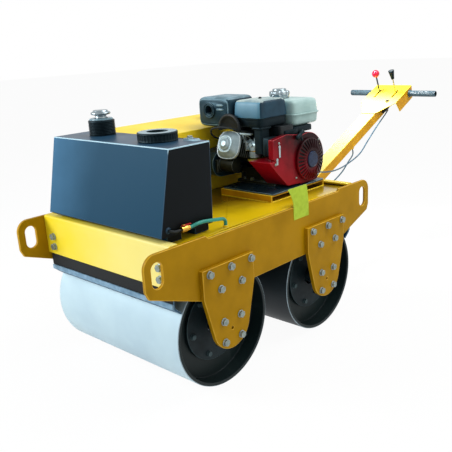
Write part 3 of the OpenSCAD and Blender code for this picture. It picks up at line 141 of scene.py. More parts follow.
def skin(rings, ring_of_rings=False):
    """Quads between neighbouring rings of an (n, m, 3) array; each end is closed by one face, or
    the last ring is joined to the first. Returns points and faces"""
    n, m = rings.shape[:2]
    i, j = np.meshgrid(np.arange(n if ring_of_rings else n - 1), np.arange(m), indexing="ij")
    a, b = i * m + j, i * m + (j + 1) % m
    up = (i + 1) % n * m
    faces = np.stack([a, b, up + (j + 1) % m, up + j], -1).reshape(-1, 4).tolist()
    if not ring_of_rings:
        faces += [list(range(m))[::-1], list(range((n - 1) * m, n * m))]
    return rings.reshape(-1, 3), faces


def turned(profile, centre, axis, sides=48, ripple=None, rise=None):
    """Surface of revolution: p = centre + h axis + r (cos t e + sin t f) for each (r, h) of the
    profile; ripple(r, h, t) scales r and rise(r, h, t) is added to h. A profile that starts and ends
    off the axis is a ring, and is closed on itself"""
    r, h = (np.asarray(profile, float)[:, k, None] for k in (0, 1))
    t = np.linspace(0, ROUND, sides, endpoint=False)[None, :]
    r0, h0 = r + 0 * t, h + 0 * t
    rr = r0 * ripple(r0, h0, t) if ripple else r0
    hh = h0 + rise(r0, h0, t) if rise else h0
    e, f = across(axis)
    rings = (np.asarray(centre, float) + hh[..., None] * unit(axis)
             + rr[..., None] * (np.cos(t)[..., None] * e + np.sin(t)[..., None] * f))
    return skin(rings, ring_of_rings=profile[0][0] > 0 and profile[-1][0] > 0)


def swept(path, radius, sides=12):
    """Round tube: p = path(s) + r(s) (cos a n + sin a b), where n is square to the path and to the
    fixed direction that the path runs along least"""
    path = np.asarray(path, float)
    t = unit(np.gradient(path, axis=0))
    tries = unit([[1, 0, 0], [0, 1, 0], [0, 0, 1], [1, 1, 0], [1, -1, 0], [1, 0, 1], [1, 0, -1],
                  [0, 1, 1], [0, 1, -1], [1, 2, 3], [3, -1, 2], [-2, 3, 1]])
    still = tries[np.abs(t @ tries.T).max(0).argmin()]
    n = unit(np.cross(t, still))
    b = np.cross(t, n)
    a = np.linspace(0, ROUND, sides, endpoint=False)
    r = np.broadcast_to(np.asarray(radius, float), len(path))[:, None, None]
    cos, sin = np.cos(a)[None, :, None], np.sin(a)[None, :, None]
    return skin(path[:, None] + r * (cos * n[:, None] + sin * b[:, None]))


def curved(points, steps):
    """Smooth curve through the points: each span is the Catmull-Rom cubic
    (2b + (c - a) t + (2a - 5b + 4c - d) t^2 + (3b - a - 3c + d) t^3) / 2"""
    p = np.asarray(points, float)
    q = np.vstack([p[:1], p, p[-1:]])
    a, b, c, d = (q[k:len(q) - 3 + k, None, :] for k in range(4))
    t = (np.arange(steps) / steps)[None, :, None]
    square, cube = 2 * a - 5 * b + 4 * c - d, 3 * b - a - 3 * c + d
    spans = 0.5 * (2 * b + (c - a) * t + square * t**2 + cube * t**3)
    return np.vstack([spans.reshape(-1, 3), p[-1:]])


def cylinder(radius, height, centre, axis=UP, sides=12):
    """Plain closed cylinder"""
    return turned([(0, 0), (radius, 0), (radius, height), (0, height)], centre, axis, sides)


def curve_power(value, power):
    """A sine or cosine raised to 2 / power with its sign kept, which draws |x|^n + |y|^n = 1"""
    return np.sign(value) * np.abs(value) ** (2 / power)


def boxy(levels, x, y, power=7.0, sides=96):
    """Soft box: at each (height, share) level a superellipse |x/a|^n + |y/b|^n = 1 whose half sizes
    are share times those of the box"""
    z, s = (np.asarray(levels, float)[:, k, None] for k in (0, 1))
    t = np.linspace(0, ROUND, sides, endpoint=False)[None, :] + ROUND / sides / 2
    px = (x[0] + x[1]) / 2 + s * (x[1] - x[0]) / 2 * curve_power(np.cos(t), power)
    py = (y[0] + y[1]) / 2 + s * (y[1] - y[0]) / 2 * curve_power(np.sin(t), power)
    return skin(np.stack([px, py, z + 0 * t], -1))


def slab(x, y, z, power=6, sides=48, soft=(2, 2), share=(0.96, 0.97)):
    """Soft box from z[0] to z[1] with flat ends, each share of the full size, that it reaches within
    soft mm"""
    low, high = z
    return boxy([(low, 0.0), (low, share[0]), (low + soft[0], 1.0), (high - soft[1], 1.0), (high, share[1]),
                 (high, 0.0)], x, y, power, sides)


# Pieces


def object_of(mesh, name, materials, body, nodes=(), slot=None):
    """Links a mesh as a piece that rides on a body and stands for CAD nodes; the slot it works out is not
    used
    """
    mesh.materials.clear()
    for m in materials:
        mesh.materials.append(m)
    mesh.polygons.foreach_set("use_smooth", np.ones(len(mesh.polygons), bool))
    obj = bpy.data.objects.new(name, mesh)
    bpy.context.scene.collection.objects.link(obj)
    if body:
        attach(obj, body)
    if nodes:
        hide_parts(*nodes)
    slot = slot or next((SLOT_OF[n] for n in nodes if n in SLOT_OF), None)
    return obj


def made(name, shapes, material, nodes=(), slot=None, body="chassis", crease=38, where=None):
    """One piece from several closed shapes of (points, faces), its doubles merged and its faces
    turned outwards; where is a place function such as on_handle"""
    points, faces, start = [], [], 0
    for p, f in shapes:
        points.append(placed(where(p) if where else p))
        faces += [[i + start for i in face] for face in f]
        start += len(p)
    mesh = bpy.data.meshes.new(name)
    mesh.from_pydata(np.vstack(points).tolist(), [], faces)
    bm = bmesh.new()
    bm.from_mesh(mesh)
    bmesh.ops.remove_doubles(bm, verts=bm.verts, dist=1e-6)
    bmesh.ops.delete(bm, geom=[e for e in bm.edges if not e.link_faces], context="EDGES")
    bmesh.ops.recalc_face_normals(bm, faces=bm.faces)
    bm.to_mesh(mesh)
    bm.free()
    obj = object_of(mesh, name, [material], body, nodes, slot)
    mesh.set_sharp_from_angle(angle=math.radians(crease))
    return obj


def softened(node, face, edge, width, segments=2):
    """A merged copy of a CAD node whose sharp edges are rounded by width millimetres; the rounded
    strips take the edge finish"""
    source = frame["nodes"][node]
    mesh = source.data.copy()
    bm = bmesh.new()
    bm.from_mesh(mesh)
    bmesh.ops.remove_doubles(bm, verts=bm.verts, dist=3e-6)
    bmesh.ops.dissolve_limit(bm, angle_limit=math.radians(0.5), verts=bm.verts, edges=bm.edges)
    bm.to_mesh(mesh)
    bm.free()
    obj = object_of(mesh, node + "_finished", [face, edge], source["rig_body"], [node])
    mesh.set_sharp_from_angle(angle=math.radians(30))
    rounding = obj.modifiers.new("Rounded edges", "BEVEL")
    rounding.width = width / 1000
    rounding.segments = segments
    rounding.limit_method = "ANGLE"
    rounding.angle_limit = math.radians(35)
    rounding.harden_normals = True
    rounding.use_clamp_overlap = False
    rounding.material = 1
    return obj


def facing(obj, direction, least, material):
    """Gives the faces whose normals n have n . direction > least a material of their own"""
    mesh = obj.data
    normals, index = np.zeros(len(mesh.polygons) * 3), np.zeros(len(mesh.polygons), int)
    mesh.polygons.foreach_get("normal", normals)
    mesh.polygons.foreach_get("material_index", index)
    mesh.materials.append(material)
    index[normals.reshape(-1, 3) @ unit(direction) > least] = len(mesh.materials) - 1
    mesh.polygons.foreach_set("material_index", index)


def coated(node, material):
    """Gives a CAD node, whose shape is right, its material"""
    obj = frame["nodes"][node]
    for slot in obj.material_slots:
        slot.material = material
    if not obj.material_slots:
        obj.data.materials.append(material)


def hexagon(centre, axis, across_flats, height, chamfer=0.12):
    """Hexagon head: six-sided rings with a chamfered crown"""
    r = across_flats / math.sqrt(3)
    flank = height * (1 - chamfer * 2)
    return turned([(0, 0), (r, 0), (r, flank), (r * 0.9, height), (0, height)], centre, axis, 6)


# Materials


def paint_tree(material):
    """The empty node tree of a new material or world"""
    material.use_nodes = True
    material.node_tree.nodes.clear()
    return material.node_tree


def colour(code):
    """Linear colour of an sRGB hex code: c / 12.92 below 0.04045, else ((c + 0.055) / 1.055)^2.4"""
    c = np.array([int(code[i:i + 2], 16) for i in (1, 3, 5)]) / 255
    return (*np.where(c <= 0.04045, c / 12.92, ((c + 0.055) / 1.055) ** 2.4), 1.0)


def add(tree, kind, inputs=None, output=0, **settings):
    """Adds one shader node, sets its properties, gives each input a value or links it to a socket,
    and returns one of its outputs"""
    new = tree.nodes.new("ShaderNode" + kind)
    for key, value in settings.items():
        setattr(new, key, value)
    for key, value in (inputs or {}).items():
        if isinstance(value, bpy.types.NodeSocket):
            tree.links.new(value, new.inputs[key])
        else:
            new.inputs[key].default_value = value
    return new.outputs[output] if new.outputs else None


def mixed(tree, share, first, second):
    """Colour that leads from the first to the second as share goes from 0 to 1"""
    return add(tree, "Mix", {0: share, 6: first, 7: second}, 2, data_type="RGBA")


def finish(name, base, second, rough, patch, grain, bump=0.04, metallic=0.0, specular=0.25, ior=1.5,
           tint=NO_TINT, coat=0.0, stretch=(1, 1, 1), core=None, fade=None):
    """Surface finish: a patchy mix of two colours over `patch` mm, a relief of `grain` mm, and a
    roughness that follows both. core = (y, z, radius, colour, rough) paints everything nearer than
    radius mm to a line along X in a darker coat; fade = (a, b) leads from the first colour at point a
    to the second at point b"""
    material = bpy.data.materials.get(name)
    if material:
        return material
    material = bpy.data.materials.new(name)
    tree = paint_tree(material)
    base, second = (colour(c) if isinstance(c, str) else (*c[:3], 1.0) for c in (base, second))
    place = add(tree, "TexCoord", output="Object")
    spread = add(tree, "Mapping", {"Vector": place, "Scale": stretch})
    broad = add(tree, "TexNoise", {"Vector": spread, "Scale": 1000 / patch, "Detail": 3.0, "Roughness": 0.55})
    fine = add(tree, "TexNoise", {"Vector": spread, "Scale": 1000 / grain, "Detail": 2.0})
    share = add(tree, "MapRange", {"Value": broad, "From Min": 0.35, "From Max": 0.65})
    if fade:
        a, b = placed(fade[0]), placed(fade[1])
        way = (b - a) / ((b - a) @ (b - a))
        along = add(tree, "VectorMath", {0: place, 1: way.tolist()}, "Value", operation="DOT_PRODUCT")
        patchy = add(tree, "Math", {0: broad, 1: 0.5, 2: along}, operation="MULTIPLY_ADD")
        start = a @ way + 0.25
        share = add(tree, "MapRange", {"Value": patchy, "From Min": start, "From Max": start + 1},
                    interpolation_type="SMOOTHSTEP")
    tone = mixed(tree, share, base, second)
    both = add(tree, "Math", {0: fine, 1: 0.4, 2: broad}, operation="MULTIPLY_ADD")
    dull = add(tree, "MapRange", {"Value": both, "From Min": 0.45, "From Max": 0.95, "To Min": rough[0],
                                  "To Max": rough[1]})
    shine = metallic
    if core:
        y, z = placed([0, core[0], core[1]])[1:]
        flat = add(tree, "Mapping", {"Vector": place, "Location": (0, -y, -z), "Scale": (0, 1, 1)})
        reach = add(tree, "VectorMath", {0: flat}, "Value", operation="LENGTH")
        outer = add(tree, "Math", {0: reach, 1: core[2] / 1000}, operation="GREATER_THAN")
        tone = mixed(tree, outer, colour(core[3]), tone)
        dull = add(tree, "Mix", {0: outer, 2: core[4], 3: dull})
        shine = add(tree, "Math", {0: outer, 1: metallic}, operation="MULTIPLY")
    relief = add(tree, "Bump", {"Strength": 0.5, "Distance": bump / 1000, "Height": fine})
    shader = add(tree, "BsdfPrincipled", {
        "Base Color": tone, "Roughness": dull, "Metallic": shine, "Normal": relief, "IOR": ior,
        "Specular IOR Level": specular, "Specular Tint": tint, "Coat Weight": coat})
    add(tree, "OutputMaterial", {"Surface": shader})
    return material


def paints():
    """Every material of the roller by its short name, made once. The numbers are the two roughnesses,
    patch, grain and bump in mm, and how metallic it is. The grains of powder coat, nylon, rubber and card
    are finer on the real thing: they are drawn 1 to 2 mm wide, so that they show"""
    p = bpy.context.scene.roller_paints
    beam = ((-360, -570, 540), (330, -570, 540))
    deck = ((40, 60, 640), (330, -60, 640))
    console = ((20, 1400, 900), (60, 1570, 940))
    tank_front = ((-460, -560, 900), (-20, -560, 740))
    tank_lid = ((0, -570, 938), (0, -470, 938))
    tank_rim = ((0, 0, 936), (0, 0, 916))
    shroud = ((264, 180, 690), (264, 330, 860))
    lid = ((46, 146, 1030), (46, 146, 950))
    return {
        # Sprayed yellow enamel over steel sheet: even and half glossy, with a faint orange peel
        "enamel": finish("Yellow sprayed enamel", p.enamel, "#F3CE1C", (0.32, 0.42), 180, 3, 0.05),
        # The front beam, painted paler towards its right end as a sheen
        "beam": finish("Yellow enamel of the front beam with painted sheen", "#E6CC1E", "#EADB80", (0.32, 0.42), 180, 3, 0.05,
                       fade=beam),
        # The deck: brown beside the engine as a painted shadow of the tank and engine, bright yellow along
        # the side
        "deck": finish("Yellow enamel of the deck with painted shadow", "#5E450A", "#FAD214", (0.12, 0.24), 160, 4, 0.05,
                       specular=0.6, fade=deck),
        # The same enamel on rounded edges, painted lighter as an edge highlight
        "enamel_edge": finish("Yellow enamel with painted edge highlights", "#FBE24E", "#F8D838", (0.26, 0.34), 60, 3),
        # The handle's upper faces, painted pale as lit from above
        "enamel_lit": finish("Yellow enamel painted pale as lit", "#F8E484", "#F0CB26", (0.4, 0.5), 180, 3, 0.02,
                             specular=0.3, fade=console),
        # Painted shade on side faces and on the pedestal: deeper, towards orange
        "enamel_shade": finish("Yellow enamel painted deeper as shade", "#D69C08", "#C48C06", (0.36, 0.46), 120,
                              3, 0.01, specular=0.16),
        # Enamel on thick flame-cut plate: a little duller and more uneven than the sheet, and deepened to
        # mustard as painted shade
        "plate": finish("Enamel on thick plate painted mustard as shade", p.plate, "#9E7502", (0.4, 0.52), 140, 3,
                        specular=0.08),
        # Cut edges of that plate, painted brighter as an edge highlight
        "plate_edge": finish("Enamel on cut edges with painted highlights", "#D9A922", "#C29314", (0.3, 0.4), 50, 3),
        # Satin powder coat: blue-black with a fine pebbled skin, painted paler towards the front's upper left
        # as a broad sheen
        "tank": finish("Satin blue-black powder coat with painted sheen", p.tank, "#0F3850", (0.42, 0.52), 260, 1.6, 0.05,
                       specular=0.16, tint=BLUE_SHEEN, fade=tank_front),
        # The same coat on the tank's ends, nearly black as painted shade
        "tank_shade": finish("Satin powder coat painted dark on the ends as shade", "#050D12", "#03090D", (0.42, 0.52), 200, 1.6,
                            0.05, specular=0.1),
        # On its lid, a painted reflection: pale at the front, dark behind
        "tank_top_reflection": finish("Satin powder coat with painted reflection on top", "#6FB0DA", "#1A3A50", (0.34, 0.44), 160, 1.6, 0.05,
                           fade=tank_lid),
        # On its top edges, painted pale as a highlight
        "tank_edge": finish("Powder coat with painted highlights on its top edges", "#A9CBDA", "#1B4058", (0.3, 0.4), 40, 2,
                            fade=tank_rim),
        # The drums' rolled steel: the front one polished pale by the ground, the rear one painted dark as
        # shade
        "front_shell": drum_steel("front", -AXLE, "#BCD3DC", "#B0C8D4"),
        "rear_shell": drum_steel("rear", AXLE, "#222C31", "#1A2429"),
        # Rim corners of the drums, worn bare outside and primed inside
        "front_rim": drum_rim("front", -AXLE),
        "rear_rim": drum_rim("rear", AXLE),
        # Worn edges of bolts and rims: bright grey steel
        "rim": finish("Worn steel rim", "#A9B7BF", "#8C9CA6", (0.35, 0.5), 30, 1.5, metallic=0.6),
        # Dark primer on forgings inside the drums: flat and a little blue
        "primer": finish("Dark steel primer", "#16262B", "#101C20", (0.5, 0.65), 60, 2, 0.08, ior=1.45),
        # The same primer, lighter grey, on rounded edges and the hub bolts
        "primer_edge": finish("Lighter primer on edges", "#43585D", "#2E4246", (0.4, 0.5), 30, 2),
        # Zinc plate on bolts and nuts: pale grey, slightly clouded
        "zinc": finish("Bright zinc plate", "#98A49E", "#76827D", (0.3, 0.44), 9, 1.2, 0.03, 0.7),
        # Ground steel of shafts and pins, its marks drawn round them
        "ground": finish("Ground steel", "#C3C8CC", "#A9B0B6", (0.22, 0.34), 12, 0.8, metallic=1.0,
                         stretch=(1, 6, 6)),
        # Sheet near the exhaust: dull, nearly without a sheen
        "soot": finish("Soot-black sheet", "#0A1013", "#12191C", (0.34, 0.48), 30, 2, specular=0.2),
        # Blue-black paint of the scraper bars: satin, with a blue cast
        "scraper": finish("Blue-black scraper paint", "#234A68", "#16344C", (0.38, 0.5), 70, 2),
        # Edge of the scraper bars and their lips, painted pale blue as a highlight
        "scraper_highlight": finish("Scraper paint with painted edge highlight", "#7E9FB6", "#5C7F98", (0.3, 0.4), 30, 2),
        # Chrome plate on pressed caps: bright, softly clouded from handling
        "chrome": finish("Chrome plate", "#99A6AC", "#7F8C92", (0.2, 0.3), 25, 2, 0.01, 1.0),
        # Injection-moulded black nylon: matt, finely textured
        "nylon": finish("Moulded black nylon", "#0A1115", "#10191D", (0.4, 0.52), 30, 1.4, 0.05, ior=1.53,
                        specular=0.16, tint=BLUE_SHEEN),
        # Tops of the moulded caps, painted pale as a reflection of the sky
        "nylon_reflection": finish("Moulded nylon with painted reflection on top", "#7E9CA8", "#5E7F8C", (0.22, 0.34), 24, 1.4,
                            ior=1.53),
        # Machined brass fittings: warm, with fine turning marks
        "brass": finish("Machined brass", "#D9B25A", "#C08F3A", (0.22, 0.34), 12, 0.9, metallic=1.0),
        # Vinyl dip of the valve's lever: an even soft red
        "red_vinyl": finish("Red vinyl dip", "#C0201C", "#A81616", (0.3, 0.4), 20, 1.5),
        # Teal drain hose: smooth PVC with a soft shine
        "teal": finish("Teal PVC hose", p.hose, "#23897A", (0.24, 0.34), 25, 1.5, ior=1.53),
        # Black rubber: dull, with a faint bloom
        "rubber": finish("Black rubber", "#11181B", "#1D2629", (0.55, 0.7), 22, 1.1, 0.05, ior=1.52),
        # Blue-grey PVC sleeve of the control cables
        "sleeve": finish("Blue-grey cable sleeve", "#3F6478", "#2F4F61", (0.32, 0.42), 40, 1.2, ior=1.53),
        # Baked enamel on the pressed fan shroud: red, painted darker towards the starter as shade
        "engine_red": finish("Red baked enamel with painted shade", p.engine, "#23060A", (0.28, 0.4), 45, 2.2, specular=0.12,
                             fade=shroud),
        # The same enamel on rounded edges, painted brighter as an edge highlight
        "engine_red_highlight": finish("Red enamel with painted edge highlights", "#A81424", "#8C101C", (0.24, 0.34), 20, 2),
        # Flat dark blue enamel of the starter's bare badge
        "badge": finish("Dark blue badge enamel", "#15243F", "#1B2D4C", (0.22, 0.32), 20, 2),
        # Oven-baked black on engine sheet metal: deep, with a blue-grey sheen
        "stoved": finish("Stoved black sheet metal", "#1E3440", "#152530", (0.24, 0.36), 60, 2,
                         tint=BLUE_SHEEN),
        # The same black on the muffler's top faces, painted pale grey as a highlight: chalky
        "stoved_top_highlight": finish("Stoved black with painted highlight on top", "#7795A2", "#4C6874", (0.4, 0.55), 60, 2,
                             0.05),
        # The same black on rounded edges and louvres, painted grey as a highlight
        "stoved_highlight": finish("Stoved black with painted edge highlights", "#7795A3", "#5A7A89", (0.26, 0.36), 25, 2),
        # Air cleaner lid: moulded polypropylene, blue-grey as a painted sheen, paler at the top and darker
        # below as painted shade
        "lid": finish("Polypropylene with painted sheen and shade", "#6A9AB2", "#3F6A80", (0.32, 0.44), 55, 1.4, ior=1.49,
                      fade=lid),
        # The lid's top, painted pale as lit
        "lid_lit": finish("Polypropylene painted pale on top as lit", "#A9B9B4", "#7C949A", (0.4, 0.5), 70, 1.4, ior=1.49,
                          specular=0.3),
        # The lid's side, painted dark as shade
        "lid_shade": finish("Polypropylene painted dark on its side as shade", "#163A4C", "#0F2E3E", (0.32, 0.44), 55, 1.4,
                           ior=1.49, specular=0.2),
        # Oily sand-cast aluminium of the crankcase: dark, with a coarse grain
        "oily": finish("Oily cast aluminium", "#171C1A", "#262B22", (0.45, 0.62), 28, 2.4, 0.25, 0.35),
        # Edges of that casting, rubbed clean: brighter and smoother
        "oily_edge": finish("Casting edges rubbed clean", "#6A7370", "#4B5350", (0.36, 0.5), 16, 2,
                            metallic=0.6),
        # Clean die-cast aluminium of the valve cover and carburettor
        "cast": finish("Die-cast aluminium", "#AFC3C9", "#94A9B0", (0.32, 0.44), 24, 1.6, 0.08, 0.35),
        # Machined edges of the die castings: nearly white
        "cast_edge": finish("Die-cast edges", "#DCE8EC", "#C9D7DC", (0.24, 0.34), 12, 1.5, metallic=0.35),
        # Pale grey-green enamel on the pressed fuel tank
        "fuel": finish("Pale grey fuel tank enamel", p.fuel, "#98B6B4", (0.3, 0.4), 70, 2.4),
        # Uncoated card, printed all over in one flat green: matt with a paper grain
        "card": finish("Green uncoated card", p.card, "#A2BC32", (0.6, 0.75), 24, 0.9),
        # Polished phenolic ball knob: deep red and very glossy
        "ball": finish("Polished red phenolic", p.ball, "#C80C34", (0.06, 0.12), 14, 3, 0.01, ior=1.6,
                       coat=0.3),
        # Rubber of the handle's grips, shiny with use, blue-grey as a painted sheen
        "grip": finish("Handled grip rubber", "#37535F", "#263F4A", (0.24, 0.36), 22, 1.4, 0.06, ior=1.52,
                       specular=0.5),
        # Drive lever's rod: steel blackened in oil, with a dull sheen
        "rod_black": finish("Blackened steel rod", "#252C2C", "#333B3A", (0.36, 0.48), 10, 1.2, metallic=0.7),
        # Vibration lever's rod: zinc passivated yellow, a little cloudy
        "rod_yellow": finish("Yellow-passivated steel rod", "#C7B65A", "#AE9B3D", (0.3, 0.42), 10, 1.2,
                             metallic=0.8),
        # Deep black of openings, gaskets, rope and the rubber strips; under the starter's slots it is painted
        # shade
        "vent": finish("Deep black, painted shade in the starter slots", "#0A0D0F", "#14191B", (0.6, 0.75), 9, 1.5, 0.3),
    }


def drum_steel(which, y, base, second):
    """Shell steel outside 239 mm from the axle, dark primer on the discs and inside walls"""
    return finish(f"Rolled steel and primed disc, {which} drum", base, second, (0.46, 0.54), 260, 6, 0.02,
                  0.12, core=(y, DRUM_R, 239.0, "#0D1C1D", 0.5))


def drum_rim(which, y):
    """Bare steel where the rim's outer corner is worn, primer on its inner corner"""
    return finish(f"Worn steel rim, {which} drum", "#9FB0B9", "#8496A0", (0.35, 0.5), 30, 1.5, metallic=0.4,
                  core=(y, DRUM_R, 235.0, "#131E22", 0.55))


# Customizable values


def swatch(name, text, code):
    """A colour property whose default is an sRGB hex code"""
    return FloatVectorProperty(name=name, description=text, subtype="COLOR", min=0, max=1,
                               default=colour(code)[:3])


def length(name, text, metres):
    """A length property in metres"""
    return FloatProperty(name=name, description=text, default=metres, min=0, unit="LENGTH", precision=4)


def count(name, text, number, least):
    """A whole-number property"""
    return IntProperty(name=name, description=text, default=number, min=least)


class RollerSizes(bpy.types.PropertyGroup):
    plate_edge: length("Plate edges", "Rounding of the thick plates' cut edges", 0.0026)
    sheet_edge: length("Sheet edges", "Rounding of folded sheet edges", 0.0018)
    tank_edge: length("Tank edges", "Rounding of the tanks' corners", 0.0035)
    breather_ribs: count("Breather ribs", "Ribs round the breather housing", 8, 3)
    filler_flutes: count("Filler flutes", "Grip flutes round the oil filler", 36, 8)
    cap_lobes: count("Fuel cap lobes", "Finger lobes round the fuel cap", 8, 4)
    vent_slots: count("Vent slots", "Air slots round the starter cover", 30, 12)


class RollerPaints(bpy.types.PropertyGroup):
    enamel: swatch("Sheet enamel", "Yellow of the sheet metal", "#F7D826")
    # The plates' mustard is painted shade
    plate: swatch("Plate enamel", "Mustard yellow of the side plates and legs", "#AE8204")
    # The oil tank's paler blue is a painted sheen
    tank: swatch("Oil tank", "Blue of the oil tank where it is paler", "#3A6788")
    engine: swatch("Engine red", "Red of the fan shroud and starter cover", "#980A1C")
    fuel: swatch("Fuel tank", "Pale grey of the fuel tank", "#AAC6C4")
    hose: swatch("Drain hose", "Teal of the drain hose", "#2E9A8A")
    ball: swatch("Ball knob", "Red of the drive lever's knob", "#C80032")
    card: swatch("Card", "Green of the stuck card", "#B2CC3A")


# Stage

# The photograph's width and focal length, and how far its middle lies off the lens axis, in pixels
PHOTO_PIXELS, FOCAL_PIXELS = 452, 623.19
PHOTO_SHIFT = (-20, 10)
# The camera's place in roller millimetres and its angles in degrees, fitted to the photograph
CAMERA_SPOT = (1906.49, -1841.70, 1259.35)
CAMERA_YAW_PITCH_ROLL = (42.4313, -17.2025, -2.9422)


class ROLLER_OT_stage(bpy.types.Operator):
    """Camera at the photograph's angle, pale floor, soft lamps and a white surround"""

    bl_idname = "roller.stage"
    bl_label = "Camera, floor and lights"

    def execute(self, context):
        scene = context.scene
        scene.view_settings.view_transform = "Standard"
        yaw, pitch, roll = (math.radians(a) for a in CAMERA_YAW_PITCH_ROLL)
        level = math.cos(pitch)
        ahead = np.array([-math.sin(yaw) * level, math.cos(yaw) * level, math.sin(pitch)])
        right = np.array([math.cos(yaw), math.sin(yaw), 0.0])
        up = np.cross(right, ahead)
        c, s = math.cos(roll), math.sin(roll)
        right, up = c * right + s * up, c * up - s * right
        data = bpy.data.cameras.new("Camera")
        data.sensor_width = 36
        data.lens = data.sensor_width * FOCAL_PIXELS / PHOTO_PIXELS
        data.shift_x, data.shift_y = (shift / PHOTO_PIXELS for shift in PHOTO_SHIFT)
        camera = bpy.data.objects.new("Camera", data)
        scene.collection.objects.link(camera)
        turn = Matrix((right, up, -ahead)).transposed().to_4x4()
        camera.matrix_world = Matrix.Translation(Vector(placed(CAMERA_SPOT))) @ turn
        scene.camera = camera

        self.world(scene)
        self.floor(scene)
        self.lamp("Window light", (-2.1, -3.6, 2.4), (0.0, -0.3, 0.55), (1.9, 1.6), 150, (0.95, 0.985, 1.0))
        self.lamp("Ceiling light", (1.3, 0.9, 3.4), (0.1, 0.2, 0.5), (2.2, 2.2), 84, (0.99, 1.0, 1.0))
        self.lamp("Fill light", (3.6, 0.6, 1.8), (0.0, 0.0, 0.5), (2.0, 2.0), 15, (1.0, 0.92, 0.76))
        self.lamp("Console light", (-0.3, 0.35, 2.25), (0.0, 0.9, 0.8), (0.3, 0.3), 5, (1.0, 1.0, 1.0),
                  ROUND / 9)
        return {"FINISHED"}

    def seen(self, tree):
        """1 for rays from the camera, off a gloss or through glass, else 0"""
        camera, gloss, through = (add(tree, "LightPath", output=f"Is {ray} Ray")
                                  for ray in ("Camera", "Glossy", "Transmission"))
        first = add(tree, "Math", {0: camera, 1: gloss}, operation="MAXIMUM")
        return add(tree, "Math", {0: first, 1: through}, operation="MAXIMUM")

    def world(self, scene):
        """Surround that looks white and lights the roller at a third of that"""
        scene.world = bpy.data.worlds.new("White surround")
        tree = paint_tree(scene.world)
        tone = mixed(tree, self.seen(tree), (0.36, 0.365, 0.37, 1), (1, 1, 1, 1))
        back = add(tree, "Background", {"Color": tone, "Strength": 1.0})
        add(tree, "OutputWorld", {"Surface": back})

    def floor(self, scene):
        """Pale floor that takes soft shadows but fades into the surround"""
        mesh = bpy.data.meshes.new("Floor")
        reach, z = 30.0, -0.0005
        mesh.from_pydata([(-reach, -reach, z), (reach, -reach, z), (reach, reach, z), (-reach, reach, z)], [],
                         [(0, 1, 2, 3)])
        material = bpy.data.materials.new("Pale studio floor")
        tree = paint_tree(material)
        place = add(tree, "TexCoord", output="Object")
        cloud = add(tree, "TexNoise", {"Vector": place, "Scale": 0.8, "Detail": 2.0})
        tone = mixed(tree, cloud, colour("#F3F3F2"), colour("#EFF0F1"))
        matt = add(tree, "BsdfDiffuse", {"Color": tone})
        glow = add(tree, "Emission", {"Color": (1, 1, 1, 1), "Strength": 1.0})
        share = add(tree, "Math", {0: self.seen(tree), 1: 0.95}, operation="MULTIPLY")
        mix = add(tree, "MixShader", {0: share, 1: matt, 2: glow})
        add(tree, "OutputMaterial", {"Surface": mix})
        mesh.materials.append(material)
        obj = bpy.data.objects.new("Floor", mesh)
        scene.collection.objects.link(obj)

    def lamp(self, name, spot, aim, size, power, tone, spread=ROUND / 2):
        """Area lamp of width and height `size` at the spot, turned to the aim"""
        data = bpy.data.lights.new(name, "AREA")
        data.shape = "RECTANGLE"
        data.size, data.size_y = size
        data.energy = power
        data.color = tone
        data.spread = spread
        obj = bpy.data.objects.new(name, data)
        bpy.context.scene.collection.objects.link(obj)
        obj.location = spot
        obj.rotation_euler = (Vector(aim) - Vector(spot)).to_track_quat("-Z", "Y").to_euler()


# Hoses and cables

DRAIN = [(357, -435.7, 657), (357, -430, 657), (357, -424, 657), (361, -400, 662), (364, -370, 663),
         (366, -335, 659), (366, -300, 654), (361, -272, 648), (357, -258, 640), (356, -254, 632),
         (356, -254, 626), (356, -254, 620.3)]
LOOP = [(348.3, -522, 664), (352, -522, 664), (356, -522, 664), (362, -514, 661), (361, -500, 658),
        (357, -486, 657), (357, -481, 657), (357, -475.3, 657)]
LEAD = [(-50.3, 174.3, 853), (-56, 174.3, 853), (-62, 174.3, 853), (-72, 150, 862), (-62, 118, 885),
        (-30, 96, 908), (20, 92, 918), (66, 104, 914), (100, 140, 900), (118, 200, 892), (150, 262, 894),
        (190, 292, 898), (208, 299, 894), (215, 300, 888), (215, 300, 883), (215, 300, 878.3)]
THROTTLE = [(50, 1480, 842), (54, 1440, 820), (64, 1330, 765), (78, 1215, 705), (100, 1090, 650),
            (130, 925, 626), (160, 795, 624), (182, 690, 632), (190, 600, 646), (188, 540, 660),
            (186, 512, 666), (186, 502, 666), (186, 492.3, 666)]
DRIVE = [(30, 1125.2, 665.8), (30, 1128.5, 658.5), (30, 1131.8, 651.2), (32, 1128, 636), (38, 1106, 624),
         (46, 1060, 605), (54, 990, 566), (60, 910, 536), (66, 820, 514), (70, 740, 512), (72, 660, 526),
         (72, 590, 540), (72, 581, 540), (72, 572.3, 540)]


class ROLLER_OT_cords(bpy.types.Operator):
    """Drain hose, loop hose, ignition lead and the two control cables, each along its solid's route"""

    bl_idname = "roller.cords"
    bl_label = "Hoses and cables"

    def execute(self, context):
        m = paints()
        hoses = (("drain_hose", DRAIN, 6.5, "teal"), ("loop_hose", LOOP, 4.8, "rubber"),
                 ("ignition_lead", LEAD, 4.0, "rubber"))
        for node, route, radius, paint in hoses:
            self.cord(node, route, radius, m[paint], "medium", "loose")
        for node, route, steps in (("throttle_cable", THROTTLE, 12), ("drive_cable", DRIVE, 8)):
            cable = self.cord(node, route, 3.5, m["sleeve"], "stiff", "hanging", steps, None)
            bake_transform(cable)
        return {"FINISHED"}

    def cord(self, node, route, radius, material, stiffness, lay, steps=6, body="chassis"):
        """Round tube along the smooth curve through the route, as long as that curve"""
        path = curved(route, steps)
        obj = made(node + "_sleeve", [swept(path, radius, 16)], material, [node], body=body, crease=60)
        return obj


# Frame


